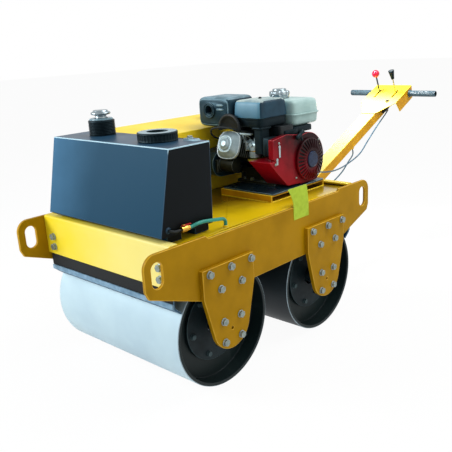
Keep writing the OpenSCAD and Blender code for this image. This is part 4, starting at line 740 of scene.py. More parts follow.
class ROLLER_OT_frame(bpy.types.Operator):
    """Side plates, beams, deck, legs, pedestal, scrapers and their bolts"""

    bl_idname = "roller.frame"
    bl_label = "Frame"

    def execute(self, context):
        m, s = paints(), context.scene.roller_sizes
        for node in ("right_side_plate", "left_side_plate", "leg_plates"):
            softened(node, m["plate"], m["plate_edge"], s.plate_edge * 1000, 3)
        # The whole pedestal takes painted shade
        sheets = (("front_beam", "beam"), ("rear_beam", "enamel"), ("engine_pedestal", "enamel_shade"),
                  ("deck_plate", "deck"))
        for node, paint in sheets:
            softened(node, m[paint], m["enamel_edge"], s.sheet_edge * 1000)
        softened("drum_scrapers", m["scraper"], m["scraper_highlight"], 1.4)
        for side, end in ((-1, "front"), (1, "rear")):
            curtain = slab((-374, 374), sorted((side * 553.9, side * 556.6)), (412, 461), 12, 64,
                           share=(0.99, 0.99))
            made(end + "_rubber_curtain", [curtain], m["vent"], slot="black_rubber")
            # A strip along the scraper bar's lower edge, painted pale blue as a highlight
            lip = slab((-375, 375), sorted((side * 553.9, side * 560.5)), (392, 411.6), 12, 64, (1.5, 1.6),
                       (0.99, 0.99))
            made(end + "_scraper_lip", [lip], m["scraper_highlight"], slot="scraper_blue")
        softened("frame_bolts", m["zinc"], m["rim"], 0.8)
        softened("axle_housings", m["primer"], m["primer_edge"], 1.5)
        coated("drum_bearings", m["ground"])
        coated("pivot_pin", m["zinc"])
        self.weld_beads(m)
        return {"FINISHED"}

    def weld_beads(self, m):
        """Weld beads along the deck's and pedestal's joints, of radius 2.6 (1 + 0.16 sin(s / 3.2)) mm"""
        lines = [((-380, -553, 611), (380, -553, 611)), ((-384.5, -553, 611), (-384.5, 270, 611)),
                 ((-18, 117, 611), (270, 117, 611)), ((271, 120, 611), (271, 498, 611))]
        shapes = []
        for a, b in np.array(lines, float):
            span = np.linalg.norm(b - a)
            t = np.linspace(0, 1, int(span / 2.2))
            shapes.append(swept(a + (b - a) * t[:, None], 2.6 * (1 + 0.16 * np.sin(t * span / 3.2)), 8))
        made("weld_beads", shapes, m["enamel"], slot="yellow_paint", crease=80)


class ROLLER_OT_drums(bpy.types.Operator):
    """Both drums with their hubs, hub bolts and exciter shafts"""

    bl_idname = "roller.drums"
    bl_label = "Drums"

    def execute(self, context):
        m = paints()
        for end in ("front", "rear"):
            softened(end + "_drum", m[end + "_shell"], m[end + "_rim"], 2.4, 3)
            softened(end + "_drum_hubs", m["primer"], m["primer_edge"], 1.5)
            softened(end + "_hub_bolts", m["primer_edge"], m["primer_edge"], 0.7)
            coated(end + "_exciter", m["ground"])
        return {"FINISHED"}


# Tanks

BREATHER, FILLER = (-187, -365, TANK_TOP), (160, -376, TANK_TOP)


class ROLLER_OT_tanks(bpy.types.Operator):
    """Oil tank and water tank with their caps, breather and valve"""

    bl_idname = "roller.tanks"
    bl_label = "Tanks"

    def execute(self, context):
        m, s = paints(), context.scene.roller_sizes
        tank = softened("oil_tank", m["tank"], m["tank_edge"], s.tank_edge * 1000, 3)
        # Painted shade on the tank's ends and a painted reflection on its lid
        for way, coat in ((OUT, "tank_shade"), ((-1, 0, 0), "tank_shade"), (UP, "tank_top_reflection")):
            facing(tank, way, 0.95, m[coat])
        softened("water_tank", m["enamel"], m["enamel_edge"], s.tank_edge * 1000, 3)
        self.breather(m, s)
        self.filler(m, s)
        self.water_cap(m)
        softened("hose_valve", m["brass"], m["brass"], 0.7)
        softened("valve_lever", m["red_vinyl"], m["red_vinyl"], 0.7)
        nut = hexagon((262.4, -313, 944), UP, 17.6, 8.6)
        washer = cylinder(12, 1.2, (262.4, -313, 943.6), sides=24)
        made("lug_nut", [nut, washer], m["zinc"], slot="zinc_bolts", crease=25)
        clip = boxy([(938.2, 0.9), (939, 1.0), (943, 1.0), (944, 0.9)], (68, 90), (-392, -382), 4, 32)
        made("filler_clip", [clip], m["nylon"], slot="black_plastic")
        return {"FINISHED"}

    def breather(self, m, s):
        """Ribbed housing, r = 52 - 2.4 (1/2 + cos(2 pi n h / H) / 2)^2, under a plated mushroom"""
        n = s.breather_ribs
        h = np.linspace(5, 50, n * 8 + 1)
        waist = 52 - 2.4 * (0.5 + 0.5 * np.cos(ROUND * n * (h - 5) / 45)) ** 2
        foot = [(14, -3.5), (14, 0.4), (50, 0.4), (52, 1.4), (52, 4)]
        top = [(52, 52), (51.8, 55), (50.6, 58.2), (48, 59.4), (46, 60.4), (45.6, 62.6), (44.6, 65), (42, 66),
               (10.4, 66), (10.4, 34), (0, 34)]
        wall = turned(foot + list(zip(waist, h)) + top, BREATHER, UP, 72)
        made("breather_housing", [wall], m["nylon"], ["breather_body"])
        # A ring on the breather's rim, painted pale as a reflection
        lip = turned([(28, 66.2), (42, 66.2), (45, 65.2), (46, 62.8), (46.3, 60.6), (46, 60.2), (28, 65.6)],
                     BREATHER, UP, 72)
        made("breather_lip_reflection", [lip], m["nylon_reflection"], slot="black_plastic")
        cap = turned([(0, -21), (9, -21), (10, -20), (10, 0.6), (22, 0.6), (23.4, 1.8), (22.6, 6),
                      (20.6, 9.4), (25, 11.6), (36, 14.6), (38.4, 16.2), (39, 18.6), (38.4, 21.4),
                      (36.6, 23.6), (31.6, 25.4), (29.4, 27), (28.8, 29.6), (26.6, 31.2), (18, 31.8),
                      (0, 32)], (*BREATHER[:2], TANK_TOP + 66), UP, 64)
        made("breather_mushroom", [cap], m["chrome"], ["breather_cap"], body="breather_cap_body", crease=50)

    def filler(self, m, s):
        """Ring cap: wall radius 73.4 (1 - 0.02 |sin(n t / 2)|^0.6) between its two beads, sunk middle"""
        flutes = s.filler_flutes

        def grip(r, h, t):
            wall = (r > 73) & (h > 5) & (h < 27)
            return 1 - 0.02 * wall * np.abs(np.sin(flutes * t / 2)) ** 0.6

        ring = turned([(40.6, 0.4), (71.5, 0.4), (73, 1.2), (73.8, 3), (73.4, 5.5), (73.4, 10), (73.4, 20),
                       (73.4, 26.5), (74, 28), (73.6, 31), (71.4, 33.4), (68, 34), (40, 34), (38, 33.2),
                       (37.2, 31), (37, 21), (34, 20.4), (12, 20.4), (10, 21.8), (0, 22), (0, 12.6),
                       (40.6, 12.6)], FILLER, UP, flutes * 6, ripple=grip)
        made("filler_ring", [ring], m["nylon"], ["filler_cap"], body="filler_cap_body")
        # A ring on the filler's top, painted pale as a reflection
        lip = turned([(40, 33.6), (38.8, 34.0), (42, 34.3), (66, 34.3), (70.6, 33.9), (68, 33.6)],
                     FILLER, UP, 120)
        made("filler_top_reflection", [lip], m["nylon_reflection"], slot="black_plastic", body="filler_cap_body")

    def water_cap(self, m):
        """Screw cap of the water tank with a fluted wall and a raised bar on top"""
        low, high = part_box("water_tank_cap")
        centre = ((low.x + high.x) * 500, (low.y + high.y) * 500 - MIDDLE * 1000, low.z * 1000)
        top = (high.z - low.z) * 1000

        def grip(r, h, t):
            return 1 - 0.025 * ((r > 41) & (h > 15) & (h < top - 5)) * (0.5 + 0.5 * np.sin(20 * t))

        cap = turned([(32.6, 0), (39, 0), (39.4, 1), (39.4, 11.5), (41.6, 12.2), (42, 13.5), (42, 16),
                      (42, 20), (42, top - 6), (41.8, top - 4), (40, top - 1.2), (37, top - 0.4),
                      (20, top - 2), (0, top - 2), (0, 12.4), (32.6, 12.4)], centre, UP, 120, ripple=grip)
        x, y, z = centre
        bar = boxy([(z + top - 4, 0.96), (z + top - 0.8, 1.0), (z + top, 0.9)], (x - 5, x + 5),
                   (y - 30, y + 30), 4, 40)
        made("water_cap_fluted", [cap, bar], m["nylon"], ["water_tank_cap"], body="water_cap_body")


# Engine

FUEL_NECK, STARTER = (79, 433, 1010), (264.3, CRANK_Y, CRANK_Z)


class ROLLER_OT_engine_block(bpy.types.Operator):
    """Base plate, crankcase, finned cylinder, valve cover and crankshaft"""

    bl_idname = "roller.engine_block"
    bl_label = "Engine block"

    def execute(self, context):
        m = paints()
        softened("engine_base", m["stoved"], m["stoved_highlight"], 1.5)
        softened("crankcase", m["oily"], m["oily_edge"], 2.0)
        softened("cylinder_head", m["oily"], m["oily_edge"], 0.8)
        coated("crankshaft", m["ground"])
        self.valve_cover(m)
        self.small_parts(m)
        return {"FINISHED"}

    def valve_cover(self, m):
        """Die-cast dome: superellipse rings |x/64|^n + |z/62|^n = 1 that shrink by s, at the depth
        272 + 34 (1 - (s / 0.97)^2.6), with a ring hollow near s = 0.46 and a centre boss inside s = 0.3"""

        def outline(share, depth):
            """One ring for each share and depth; n goes from 2 in the middle to 3 at the rim"""
            t = np.linspace(0, ROUND, 84, endpoint=False)[None, :]
            share, depth = np.asarray(share)[:, None], np.asarray(depth)[:, None]
            n = np.interp(share, [0, 0.5, 1.0], [2.0, 2.3, 3.0])
            x = 26 + share * 64 * curve_power(np.cos(t), n)
            z = -10 + share * 62 * curve_power(np.sin(t), n)
            return np.stack([x, -depth + 0 * t, z], -1)

        s = np.concatenate([np.linspace(0.95, 0.02, 52), [0.0]])
        dome = 272 + 34 * (1 - (s / 0.97) ** 2.6)
        dome = dome - 4.2 * np.exp(-(((s - 0.46) / 0.05) ** 2)) + 2.4 * np.exp(-(((s - 0.6) / 0.06) ** 2))
        dome = dome + 5.0 / (1 + np.exp((s - 0.27) * 50))
        share = np.concatenate([[0.0, 0.99, 1.0, 1.0, 0.99, 0.965], s])
        depth = np.concatenate([[264.2, 264.2, 265.0, 269.6, 270.8, 271.2], np.minimum(dome, 310.8)])
        made("valve_cover_dome", [skin(outline(share, depth))], m["cast"], ["valve_cover"], crease=50,
             where=on_cylinder)
        lip = outline([0.955, 0.99, 1.0, 1.0, 0.985, 0.95], [270.6, 270.2, 271.4, 274.4, 275.8, 275.0])
        made("valve_cover_lip", [skin(lip, ring_of_rings=True)], m["cast_edge"], slot="cover_silver",
             crease=60, where=on_cylinder)
        gasket = outline([0.0, 1.0, 1.0, 0.0], [262.4, 262.4, 264.2, 264.2])
        made("valve_cover_gasket", [skin(gasket)], m["vent"], slot="black_rubber", where=on_cylinder)

    def small_parts(self, m):
        """Oil filler plug and drain bolt"""
        plug = turned([(0, 0), (13, 0), (13, 3), (16, 4), (16, 12), (14, 14), (5, 14), (5, 20), (0, 20)],
                      (176, 240, 692), (0.8, -0.6, 0.2), 24)
        made("oil_filler_plug", [plug], m["brass"], slot="brass_fitting")
        drain = hexagon((60, 243.5, 668), (0, -1, 0), 17, 9)
        made("oil_drain_bolt", [drain], m["zinc"], slot="zinc_bolts", crease=25)


class ROLLER_OT_muffler(bpy.types.Operator):
    """Silencer with its outlet, louvres and heat shield, and a band round its front edge painted as a
    highlight
    """

    bl_idname = "roller.muffler"
    bl_label = "Muffler"

    def execute(self, context):
        m = paints()
        t = np.linspace(0, ROUND, 112, endpoint=False)
        c, q = np.cos(t), np.sin(t)

        def hole(r, y):
            """Circle round the outlet, at the depth y"""
            return np.stack([-74 + r * c, y + 0 * t, 983 + r * q], -1)

        def case(inset, y, power=7.0):
            """Superellipse |x/97|^n + |z/65|^n = 1 of the case, drawn in by the inset"""
            return np.stack([-53 + (97 - inset) * curve_power(c, power), y + 0 * t,
                             975 + (65 - inset) * curve_power(q, power)], -1)

        rings = [hole(*ring) for ring in ((0, 168), (19.6, 168), (20, 128), (20.4, 123.4), (21.6, 122.2),
                                          (25, 122.2), (26, 124.6), (28.4, 124.8), (30, 122.4), (32, 122.4),
                                          (33, 124), (33, 129.4), (34.4, 130.3))]
        rings += [case(*ring) for ring in ((21, 130.3), (14, 131.4), (9, 133.6), (4.6, 138), (1.6, 145),
                                           (0, 154), (0, 282), (2, 287), (8, 290), (65, 290, 2.0))]
        pipe = cylinder(18, 33.6, (20, 212, 878.4), sides=28)
        silencer = made("muffler_shell", [skin(np.stack(rings)), pipe], m["stoved"], ["muffler"], crease=42)
        # Its upper faces take a painted highlight
        facing(silencer, UP, 0.6, m["stoved_top_highlight"])
        throat = cylinder(19.2, 12, (-74, 156, 983), (0, 1, 0), 40)
        made("exhaust_throat", [throat], m["vent"], slot="engine_black")
        # A band round the case's front edge, painted pale as a highlight
        band = [case(*ring) for ring in ((12.6, 131.2), (11, 132.2), (8.6, 133.4), (8.2, 134.6),
                                         (12.2, 132.6))]
        made("muffler_edge_highlight", [skin(np.stack(band), ring_of_rings=True)], m["stoved_highlight"],
             slot="engine_black", crease=60)
        # Pressed louvres, painted pale as highlights
        a, x = np.linspace(0, math.pi, 9)[:, None], np.linspace(-1, 1, 25)[None, :]
        swell = np.clip(1 - x**4, 0, 1)
        louvres = []
        for z in (1006, 988):
            arc = np.stack([0 * a - 12 + 24 * x, 130.8 - 5 * np.sin(a) * swell,
                            z + 5.5 * np.cos(a) * swell + 0 * x], -1)
            louvres.append(skin(arc.transpose(1, 0, 2)))
        made("muffler_louvres", louvres, m["stoved_highlight"], slot="engine_black")
        self.heat_shield(m)
        return {"FINISHED"}

    def heat_shield(self, m):
        """Pressed half dish before the muffler's lower corner: the profile (r, y) turned 196 degrees"""
        profile = np.array([(1, 127.4), (42, 127.4), (48, 125), (53, 122.8), (58, 122.2), (62, 123.2),
                            (65, 126), (65.4, 130.2), (63.4, 130.2), (62, 127), (58, 125), (54, 125.6),
                            (49, 128.2), (43, 130.2), (1, 130.2)])
        a = np.radians(np.linspace(-8, 188, 48))[:, None]
        r, y = profile[:, 0][None, :], profile[:, 1][None, :]
        dish = np.stack([42 + r * np.cos(a), y + 0 * a, 908 + r * np.sin(a)], -1)
        made("muffler_heat_shield", [skin(dish)], m["soot"], slot="engine_black")


class ROLLER_OT_air_cleaner(bpy.types.Operator):
    """Air cleaner: soft-cornered lid over a darker base, its knob and the duct below"""

    bl_idname = "roller.air_cleaner"
    bl_label = "Air cleaner"

    def execute(self, context):
        m = paints()
        x, y = (46, 206), (146, 334)
        lid = boxy([(953.6, 0.9), (953.6, 0.975), (955.4, 1.0), (968, 1.0), (988, 0.985), (1007, 0.965),
                    (1015, 0.948), (1020, 0.92), (1024, 0.875), (1026.4, 0.8), (1027.6, 0.66), (1028, 0.4),
                    (1028, 0.0)], x, y, 8)
        lid = made("air_cleaner_lid", [lid], m["lid"], ["air_cleaner"], slot="black_plastic")
        # Painted shade on the +X side and painted light on the top
        facing(lid, OUT, 0.62, m["lid_shade"])
        facing(lid, UP, 0.7, m["lid_lit"])
        base = boxy([(915, 0.0), (915, 0.88), (917, 0.94), (922, 0.962), (944, 0.974), (948, 0.976),
                     (949.4, 0.988), (953.2, 0.988), (953.2, 0.0)], x, y, 8)
        duct = boxy([(800, 0.0), (800, 0.9), (803, 1.0), (880, 1.0), (916, 1.0), (916, 0.0)], (150, 195),
                    (160, 216), 6)
        rib = slab((140, 200), (152, 228), (906, 916), sides=96, share=(0.96, 0.96))
        panel = slab((194, 240), (158, 236), (796, 872), 5, 96, (3, 4), (0.94, 0.95))
        made("air_cleaner_base", [base, duct, rib, panel], m["nylon"], slot="black_plastic")
        knob = turned([(0, 0), (7, 0), (7, 4), (5.6, 5), (5.6, 6), (4.6, 7), (0, 7)], (126, 240, 1027.8), UP,
                      20)
        made("air_cleaner_knob", [knob], m["nylon"], slot="black_plastic")
        return {"FINISHED"}


class ROLLER_OT_fuel_tank(bpy.types.Operator):
    """Pressed fuel tank with its seam, filler neck and lobed cap, and the tap below"""

    bl_idname = "roller.fuel_tank"
    bl_label = "Fuel tank"

    def execute(self, context):
        m, s = paints(), context.scene.roller_sizes
        x, y = (-70, 228), (342, 536)
        shell = boxy([(897, 0.0), (897, 0.8), (898.4, 0.9), (902, 0.955), (909, 0.982), (920, 0.992),
                      (943.6, 1.0), (944, 1.034), (945.4, 1.041), (948.6, 1.041), (950, 1.034), (950.4, 1.0),
                      (975, 0.99), (993, 0.975), (1001, 0.955), (1006, 0.92), (1009, 0.86), (1010, 0.74),
                      (1010, 0.0)], x, y, 9, 120)
        neck = turned([(31, -2), (34, -2), (34, 11), (33.4, 12), (31, 12)], FUEL_NECK, UP, 48)
        made("fuel_tank_pressing", [shell, neck], m["fuel"], ["fuel_tank"])
        self.cap(m, s)
        bracket = [slab((150, 236), (330, 470), (872, 896.6), 8, soft=(2, 6.6), share=(0.97, 0.97)),
                   slab((204, 246), (262, 350), (868, 891), soft=(2, 3), share=(0.96, 0.96))]
        made("fuel_tank_bracket", bracket, m["nylon"], slot="engine_black")
        tap = [turned([(0, 0), (7, 0), (8, 1), (8, 9), (6, 10), (6, 15), (3, 15), (3, 20), (0, 20)],
                      (200, 296, 897), (0, -0.35, -1), 20),
               cylinder(4.5, 15, (200, 291, 884), OUT)]
        made("fuel_tap", tap, m["brass"], slot="brass_fitting")
        pipe = curved([(200, 292, 880), (200, 280, 870), (192, 262, 862), (176, 240, 856), (152, 222, 852),
                       (130, 210, 850)], 6)
        made("fuel_pipe", [swept(pipe, 3.6, 10)], m["rubber"], slot="black_rubber", crease=60)
        return {"FINISHED"}

    def cap(self, m, s):
        """Plated cap: its wall is 47 mm (1 - 0.075 max(0, cos(n t))^2), a finger hollow between lobes"""
        lobes = s.cap_lobes

        def lobed(r, h, t):
            return 1 - 0.075 * (r > 41) * (h > 13) * np.maximum(0, np.cos(lobes * t)) ** 2

        body = turned([(34.6, 0.5), (43, 0.5), (44.4, 1.4), (44.6, 12), (46.2, 12.6), (47, 14.4), (47, 18),
                       (47, 27), (46, 30.4), (43, 32.8), (38, 34), (33, 34.4), (31.8, 36), (31.6, 40.4),
                       (30.4, 42.2), (27, 43.2), (10, 43.8), (0, 44), (0, 12.6), (34.6, 12.6)], FUEL_NECK, UP,
                      96, ripple=lobed)
        made("fuel_cap_lobed", [body], m["chrome"], ["fuel_cap"], body="fuel_cap_body", crease=45)


class ROLLER_OT_fan_shroud(bpy.types.Operator):
    """Fan shroud, slotted starter cover with its bare badge, starter grip and the two small levers"""

    bl_idname = "roller.fan_shroud"
    bl_label = "Fan shroud and starter"

    def execute(self, context):
        m, s = paints(), context.scene.roller_sizes
        self.shroud(m)
        self.cover(m, s)
        self.grip(m)
        for node in ("throttle_lever", "fuel_lever"):
            softened(node, m["cast"], m["cast_edge"], 0.6)
        return {"FINISHED"}

    def shroud(self, m):
        """The shroud's own solid with rounded edges, and its screws"""
        softened("fan_shroud", m["engine_red"], m["engine_red_highlight"], 2.2, 3)
        head = [(0, 0), (5.5, 0), (5.5, 2), (4, 3.4), (0, 3.6)]
        spots = ((-232, 12), (-205, 98), (80, 76), (-92, -70), (72, -84))
        screws = [turned(head, (264, CRANK_Y + y, CRANK_Z + z), OUT, 14) for y, z in spots]
        made("shroud_screws", screws, m["zinc"], slot="zinc_bolts")

    def cover(self, m, s):
        """Turned cover whose cone is pressed in by 7 mm in n radial slots between 60 and 87 mm"""
        slots = s.vent_slots

        def pressed(r, h, t):
            wave = 0.5 + 0.5 * np.cos(slots * t)
            inside = (r > 59.5) & (r < 87.5) & (h > 6)
            return -7.0 * inside * np.clip((wave - 0.4) * 6, 0, 1)

        profile = [(85, 0.1), (93.2, 0.1), (94, 1), (94, 9), (93.4, 11.4), (92, 12.9), (90, 13.8), (87, 15),
                   (86, 15.4), (85.6, 15.6), (80, 17.6), (75, 19.3), (70, 21.1), (65, 22.8), (64, 23.1),
                   (63, 23.4), (60, 23.7), (48, 23.7), (42, 23.7), (40, 22.6), (37, 22.6), (36.6, 19),
                   (0, 19), (0, 14), (56, 14), (76, 8), (85, 4)]
        cover = turned(profile, STARTER, OUT, slots * 12, rise=pressed)
        made("starter_cover", [cover], m["engine_red"], ["recoil_cover"], crease=45)
        # A black floor under the slots: painted shade seen through them
        floor = turned([(59, 16.8), (88, 9.4), (88, 10.2), (59, 18.4)], STARTER, OUT, 90)
        made("starter_vents", [floor], m["vent"], slot="engine_black")
        badge = turned([(0, 18.8), (36, 18.8), (36, 25.6), (35, 27.6), (32.6, 28.4), (31.6, 27.4), (20, 27.9),
                        (0, 28.2)], STARTER, OUT, 64)
        made("starter_badge", [badge], m["badge"], slot="black_plastic")

    def grip(self, m):
        """Starter grip: a bar of radius 9 sqrt(1 - |s|^8) (1 - 0.16 exp(-(s / 0.3)^2)) for s from -1 to 1,
        on its rope, whose drawn length stretches from the cover to the grip"""
        lean = math.radians(30)
        up = np.array([0, -math.sin(lean), math.cos(lean)])
        along = np.array([0, math.cos(lean), math.sin(lean)])
        base = np.array([273.6, 338, 844])
        centre = base + up * (62 * 0.4 + 4.5)
        s = np.linspace(-1, 1, 29)
        radius = 9 * np.sqrt(np.clip(1 - np.abs(s) ** 8, 0, 1)) * (1 - 0.16 * np.exp(-((s / 0.3) ** 2)))
        bar = swept(centre + along * (s * 31)[:, None], np.maximum(radius, 0.01), 20)
        rope = swept(base + up * np.linspace(0.2, 25, 6)[:, None], [5, 5, 4.6, 4.2, 4, 4], 12)
        made("starter_grip", [bar, rope], m["nylon"], ["recoil_grip"], body="recoil_grip_body", crease=50)
        line = swept(base + up * np.linspace(-4, 20, 16)[:, None], 2.2, 12)
        drawn = made("starter_rope", [line], m["vent"], slot="black_plastic", body=None)
        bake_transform(drawn)


class ROLLER_OT_carburettor(bpy.types.Operator):
    """Carburettor with its bowl, fittings, governor rods and bracket, and the sheet metal round it"""

    bl_idname = "roller.carburettor"
    bl_label = "Carburettor"

    def execute(self, context):
        m = paints()
        softened("carburettor", m["cast"], m["cast_edge"], 1.2)
        x, y, z = 121, 196, 832
        bowl = turned([(0, 0), (23, 0), (25.4, 1.4), (25.4, 4), (24.4, 5), (0, 5)], (x, y, z - 26), UP, 40)
        made("float_bowl_rim", [bowl, cylinder(5, 4, (x, y, z - 56))], m["brass"], slot="brass_fitting")
        bits = [hexagon((104, y - 22, z + rise), (0, -1, 0), 10, 6) for rise in (12, -12)]
        bits += [turned([(0, 0), (9, 0), (9, 7), (7, 9), (0, 9)], (x, y - 20, z + 4), (0, -1, 0), 20),
                 turned([(0, 0), (6, 0), (6, 12), (4, 14), (0, 14)], (x + 14, y - 8, z + 20), UP, 16),
                 cylinder(7, 5, (x - 14, y - 6, z + 21), sides=16)]
        made("carburettor_fittings", bits, m["cast"], slot="cast_aluminium")
        arm = curved([(107, 188, 858), (96, 180, 872), (60, 150, 878), (34, 138, 876), (20, 146, 868)], 6)
        link = curved([(135, 182, 858), (152, 176, 866), (176, 190, 868), (200, 216, 862), (214, 232, 850)],
                      6)
        t = np.linspace(0, 1, 180)
        a = ROUND * 15 * t
        coil = np.stack([100 - 44 * t, 172 + 3.4 * np.cos(a) - 16 * t, 888 + 3.4 * np.sin(a) + 2 * t], -1)
        made("governor_rods", [swept(arm, 1.6, 8), swept(link, 1.6, 8), swept(coil, 0.7, 6)], m["zinc"],
             slot="zinc_bolts", crease=60)
        bracket = [slab((50, 132), (156, 186), (880, 888), 5, 40, (1, 1), (0.96, 0.96)),
                   boxy([(846, 0.0), (846, 1.0), (882, 1.0), (882, 0.0)], (84, 90), (160, 184), 5, 32)]
        made("governor_bracket", bracket, m["cast"], slot="cast_aluminium")
        tin = [slab((-40, 150), (228, 300), (838, 914)), slab((150, 236), (238, 334), (868, 912)),
               slab((-30, 60), (190, 330), (896, 914), share=(0.95, 0.97))]
        made("cooling_tin", tin, m["soot"], slot="engine_black")
        shelf = slab((100, 190), (160, 250), (766, 775), soft=(1, 1), share=(0.95, 0.95))
        made("carburettor_shelf", [shelf], m["rod_yellow"], slot="cast_aluminium")
        return {"FINISHED"}


class ROLLER_OT_belt_drive(bpy.types.Operator):
    """Belt guard, belts, pump pulley and hydraulic pump"""

    bl_idname = "roller.belt_drive"
    bl_label = "Belt drive"

    def execute(self, context):
        m = paints()
        softened("belt_guard", m["stoved"], m["stoved_highlight"], 1.4)
        softened("hydraulic_pump", m["oily"], m["oily_edge"], 1.5)
        coated("drive_belts", m["rubber"])
        coated("pump_pulley", m["ground"])
        return {"FINISHED"}


# Handle

DRIVE_SPOT, VIBRATION_SPOT, BUTTON_SPOT = (-57, 1075), (57, 1062), (54, 963, 0)


class ROLLER_OT_handle(bpy.types.Operator):
    """Handle arm, console, handlebar and its rubber grips"""

    bl_idname = "roller.handle"
    bl_label = "Handle"

    def execute(self, context):
        m = paints()
        # Painted shade on the side faces and painted light on the upper faces
        faces = (((-1, 0, 0), "enamel_shade"), (OUT, "enamel_shade"), ((0, -0.5, 0.86), "enamel_lit"))
        for node, width in (("handle_arm", 1.8), ("console", 1.2)):
            sheet = softened(node, m["enamel"], m["enamel_edge"], width)
            for way, coat in faces:
                facing(sheet, way, 0.75, m[coat])
        coated("handlebar", m["rod_black"])
        self.grips(m)
        return {"FINISHED"}

    def grips(self, m):
        """Rubber grips, r = 17 (1 - 0.05 |sin(9 t)|) along their length, with an end bead and a flange"""

        def flute(r, h, t):
            return 1 - 0.05 * ((r > 16) & (r < 17.5) & (h > 16) & (h < 156)) * np.abs(np.sin(9 * t))

        profile = [(12.8, 0.3), (21.6, 0.3), (22.1, 1.4), (22.1, 6), (21, 8.2), (18, 9.4), (17, 12), (17, 17),
                   (17, 60), (17, 110), (17, 155), (17, 158), (17, 162), (16, 165), (13.4, 166),
                   (12.8, 165.7), (12.8, 120), (12.8, 40)]
        pair = [turned(profile, (side * 115, 1111, -1), (side, 0, 0), 72, ripple=flute) for side in (-1, 1)]
        made("rubber_grips", pair, m["grip"], ["handle_grips"], body="handle_body", where=on_handle)


class ROLLER_OT_levers(bpy.types.Operator):
    """Drive lever with its red ball, vibration lever with its tapered knob, the stop button, and the
    rubber boot under the console"""

    bl_idname = "roller.levers"
    bl_label = "Levers and button"

    def execute(self, context):
        m = paints()
        drive = dict(body="drive_lever_body", where=on_handle)
        vibration = dict(body="vibration_lever_body", where=on_handle)
        self.hub("drive_lever", DRIVE_SPOT, 158, m["rod_black"], 4.2)
        knob = [(0, -5), (6.5, -5), (6.5, 0.4)]
        knob += [(22 * math.sin(a), 17.6 - 22 * math.cos(a)) for a in np.linspace(0.30, math.pi, 30)]
        made("drive_ball", [turned(knob, (*DRIVE_SPOT, 130), UP)], m["ball"], slot="red_plastic", crease=50,
             **drive)
        self.hub("vibration_lever", VIBRATION_SPOT, 150, m["rod_yellow"], 3.0)
        taper = [(0, -2), (7.2, -2), (8.6, -0.6), (9, 2), (12.2, 22), (16, 44), (17, 49), (16.6, 51),
                 (15, 51.9), (12.6, 52), (11.4, 50.4), (0, 50.2)]
        made("vibration_knob", [turned(taper, (*VIBRATION_SPOT, 122), UP)], m["nylon"], slot="black_plastic",
             **vibration)
        disc = turned([(0, 50.3), (11.2, 50.3), (11.2, 51.6), (10, 52), (0, 52)], (*VIBRATION_SPOT, 122),
                      UP, 32)
        made("vibration_disc", [disc], m["chrome"], slot="black_plastic", **vibration)
        button = turned([(0, 22.6), (9, 22.6), (9, 30.4), (8.6, 33), (7.4, 35.4), (5.6, 36.4), (0, 36.5)],
                        BUTTON_SPOT, UP, 32)
        made("stop_button_cap", [button], m["soot"], ["stop_button"], body="stop_button_body",
             where=on_handle)
        boot = turned([(0, 0), (15, 0), (16, 3), (13, 26), (9, 46), (6.5, 58), (0, 58)], (50, 1464, 862),
                      (4, -40, -22), 28)
        made("cable_boot", [boot], m["soot"], slot="black_rubber", body="handle_body")
        collar = turned([(9.6, 30.6), (13.4, 30.6), (14, 31.2), (13.4, 32.6), (11, 33.4), (9.6, 33)],
                        BUTTON_SPOT, UP, 32)
        made("stop_button_collar", [collar], m["rod_yellow"], slot="yellow_paint", body="handle_body",
             where=on_handle)
        return {"FINISHED"}

    def hub(self, node, spot, height, material, radius):
        """Lever rod with its cross hub and pin, from its pivot up to the knob"""
        pivot = (*spot, -28)
        bar = turned([(0, 0), (radius, 0), (radius, height - 1), (radius - 0.6, height), (0, height)], pivot,
                     UP, 20)
        cross = turned([(0, -4.5), (6.4, -4.5), (6.4, 4.5), (0, 4.5)], pivot, OUT, 24)
        pin = cylinder(4, 10, pivot, (np.sign(spot[0]), 0, 0), 20)
        made(node + "_rod", [bar, cross, pin], material, [node], body=node + "_body", where=on_handle)


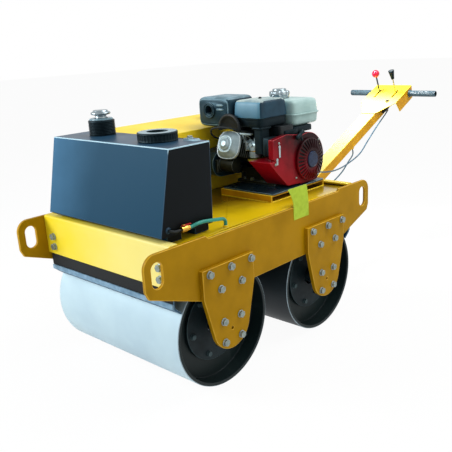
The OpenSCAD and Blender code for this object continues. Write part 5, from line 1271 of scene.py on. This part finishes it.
class ROLLER_OT_card(bpy.types.Operator):
    """Bare green card stuck to the side plate, which curls off it upwards and has a bent top corner"""

    bl_idname = "roller.card"
    bl_label = "Card"

    def execute(self, context):
        """The sheet over s (up) and w (along): it leaves the plate by 9 ((s - 0.42) / 0.58)^1.6 mm, waves
        by 0.35 mm, and its near edge runs back by 24 ((s - 0.5) / 0.5)^1.6 mm at the top"""
        m = paints()
        s = np.linspace(0, 1, 41)[:, None]
        w = np.linspace(0, 1, 25)[None, :]
        z = 556 + 132 * s + 0 * w
        lean = -9 * np.clip((s - 0.42) / 0.58, 0, 1) ** 1.6 + 0 * w
        wave = 0.35 * np.sin(5 * w + 2 * s) * np.clip(s - 0.45, 0, 1) * 2
        y = 103 + 102 * w - 24 * (1 - w) * np.clip((s - 0.5) / 0.5, 0, 1) ** 1.6
        front = np.stack([399.3 + lean + wave, y, z], -1)
        back = front - [0.9, 0, 0]
        rows = np.concatenate([front, back[:, ::-1]], 1)
        made("card_sheet", [skin(rows)], m["card"], ["stuck_card"], crease=50)
        return {"FINISHED"}


# Panel and registration

STEPS = (ROLLER_OT_stage, ROLLER_OT_cords, ROLLER_OT_frame, ROLLER_OT_drums, ROLLER_OT_tanks,
         ROLLER_OT_engine_block, ROLLER_OT_muffler, ROLLER_OT_air_cleaner, ROLLER_OT_fuel_tank,
         ROLLER_OT_fan_shroud, ROLLER_OT_carburettor, ROLLER_OT_belt_drive, ROLLER_OT_handle,
         ROLLER_OT_levers, ROLLER_OT_card)


class ROLLER_PT_panel(bpy.types.Panel):
    """The roller's pieces, in the order in which they are made"""

    bl_idname = "ROLLER_PT_panel"
    bl_label = "Double-drum roller"
    bl_space_type = "VIEW_3D"
    bl_region_type = "UI"
    bl_category = "Roller"

    def draw(self, context):
        for group in (context.scene.roller_sizes, context.scene.roller_paints):
            for key in group.__annotations__:
                self.layout.prop(group, key)
        for step in STEPS:
            self.layout.operator(step.bl_idname)


CLASSES = (RollerSizes, RollerPaints, *STEPS, ROLLER_PT_panel)


def register():
    for kind in CLASSES:
        bpy.utils.register_class(kind)
    bpy.types.Scene.roller_sizes = PointerProperty(type=RollerSizes)
    bpy.types.Scene.roller_paints = PointerProperty(type=RollerPaints)


def unregister():
    del bpy.types.Scene.roller_sizes, bpy.types.Scene.roller_paints
    for kind in reversed(CLASSES):
        bpy.utils.unregister_class(kind)


def main():
    register()
    for step in STEPS:
        group, name = step.bl_idname.split(".")
        getattr(getattr(bpy.ops, group), name)()


if __name__ == "__main__":
    main()
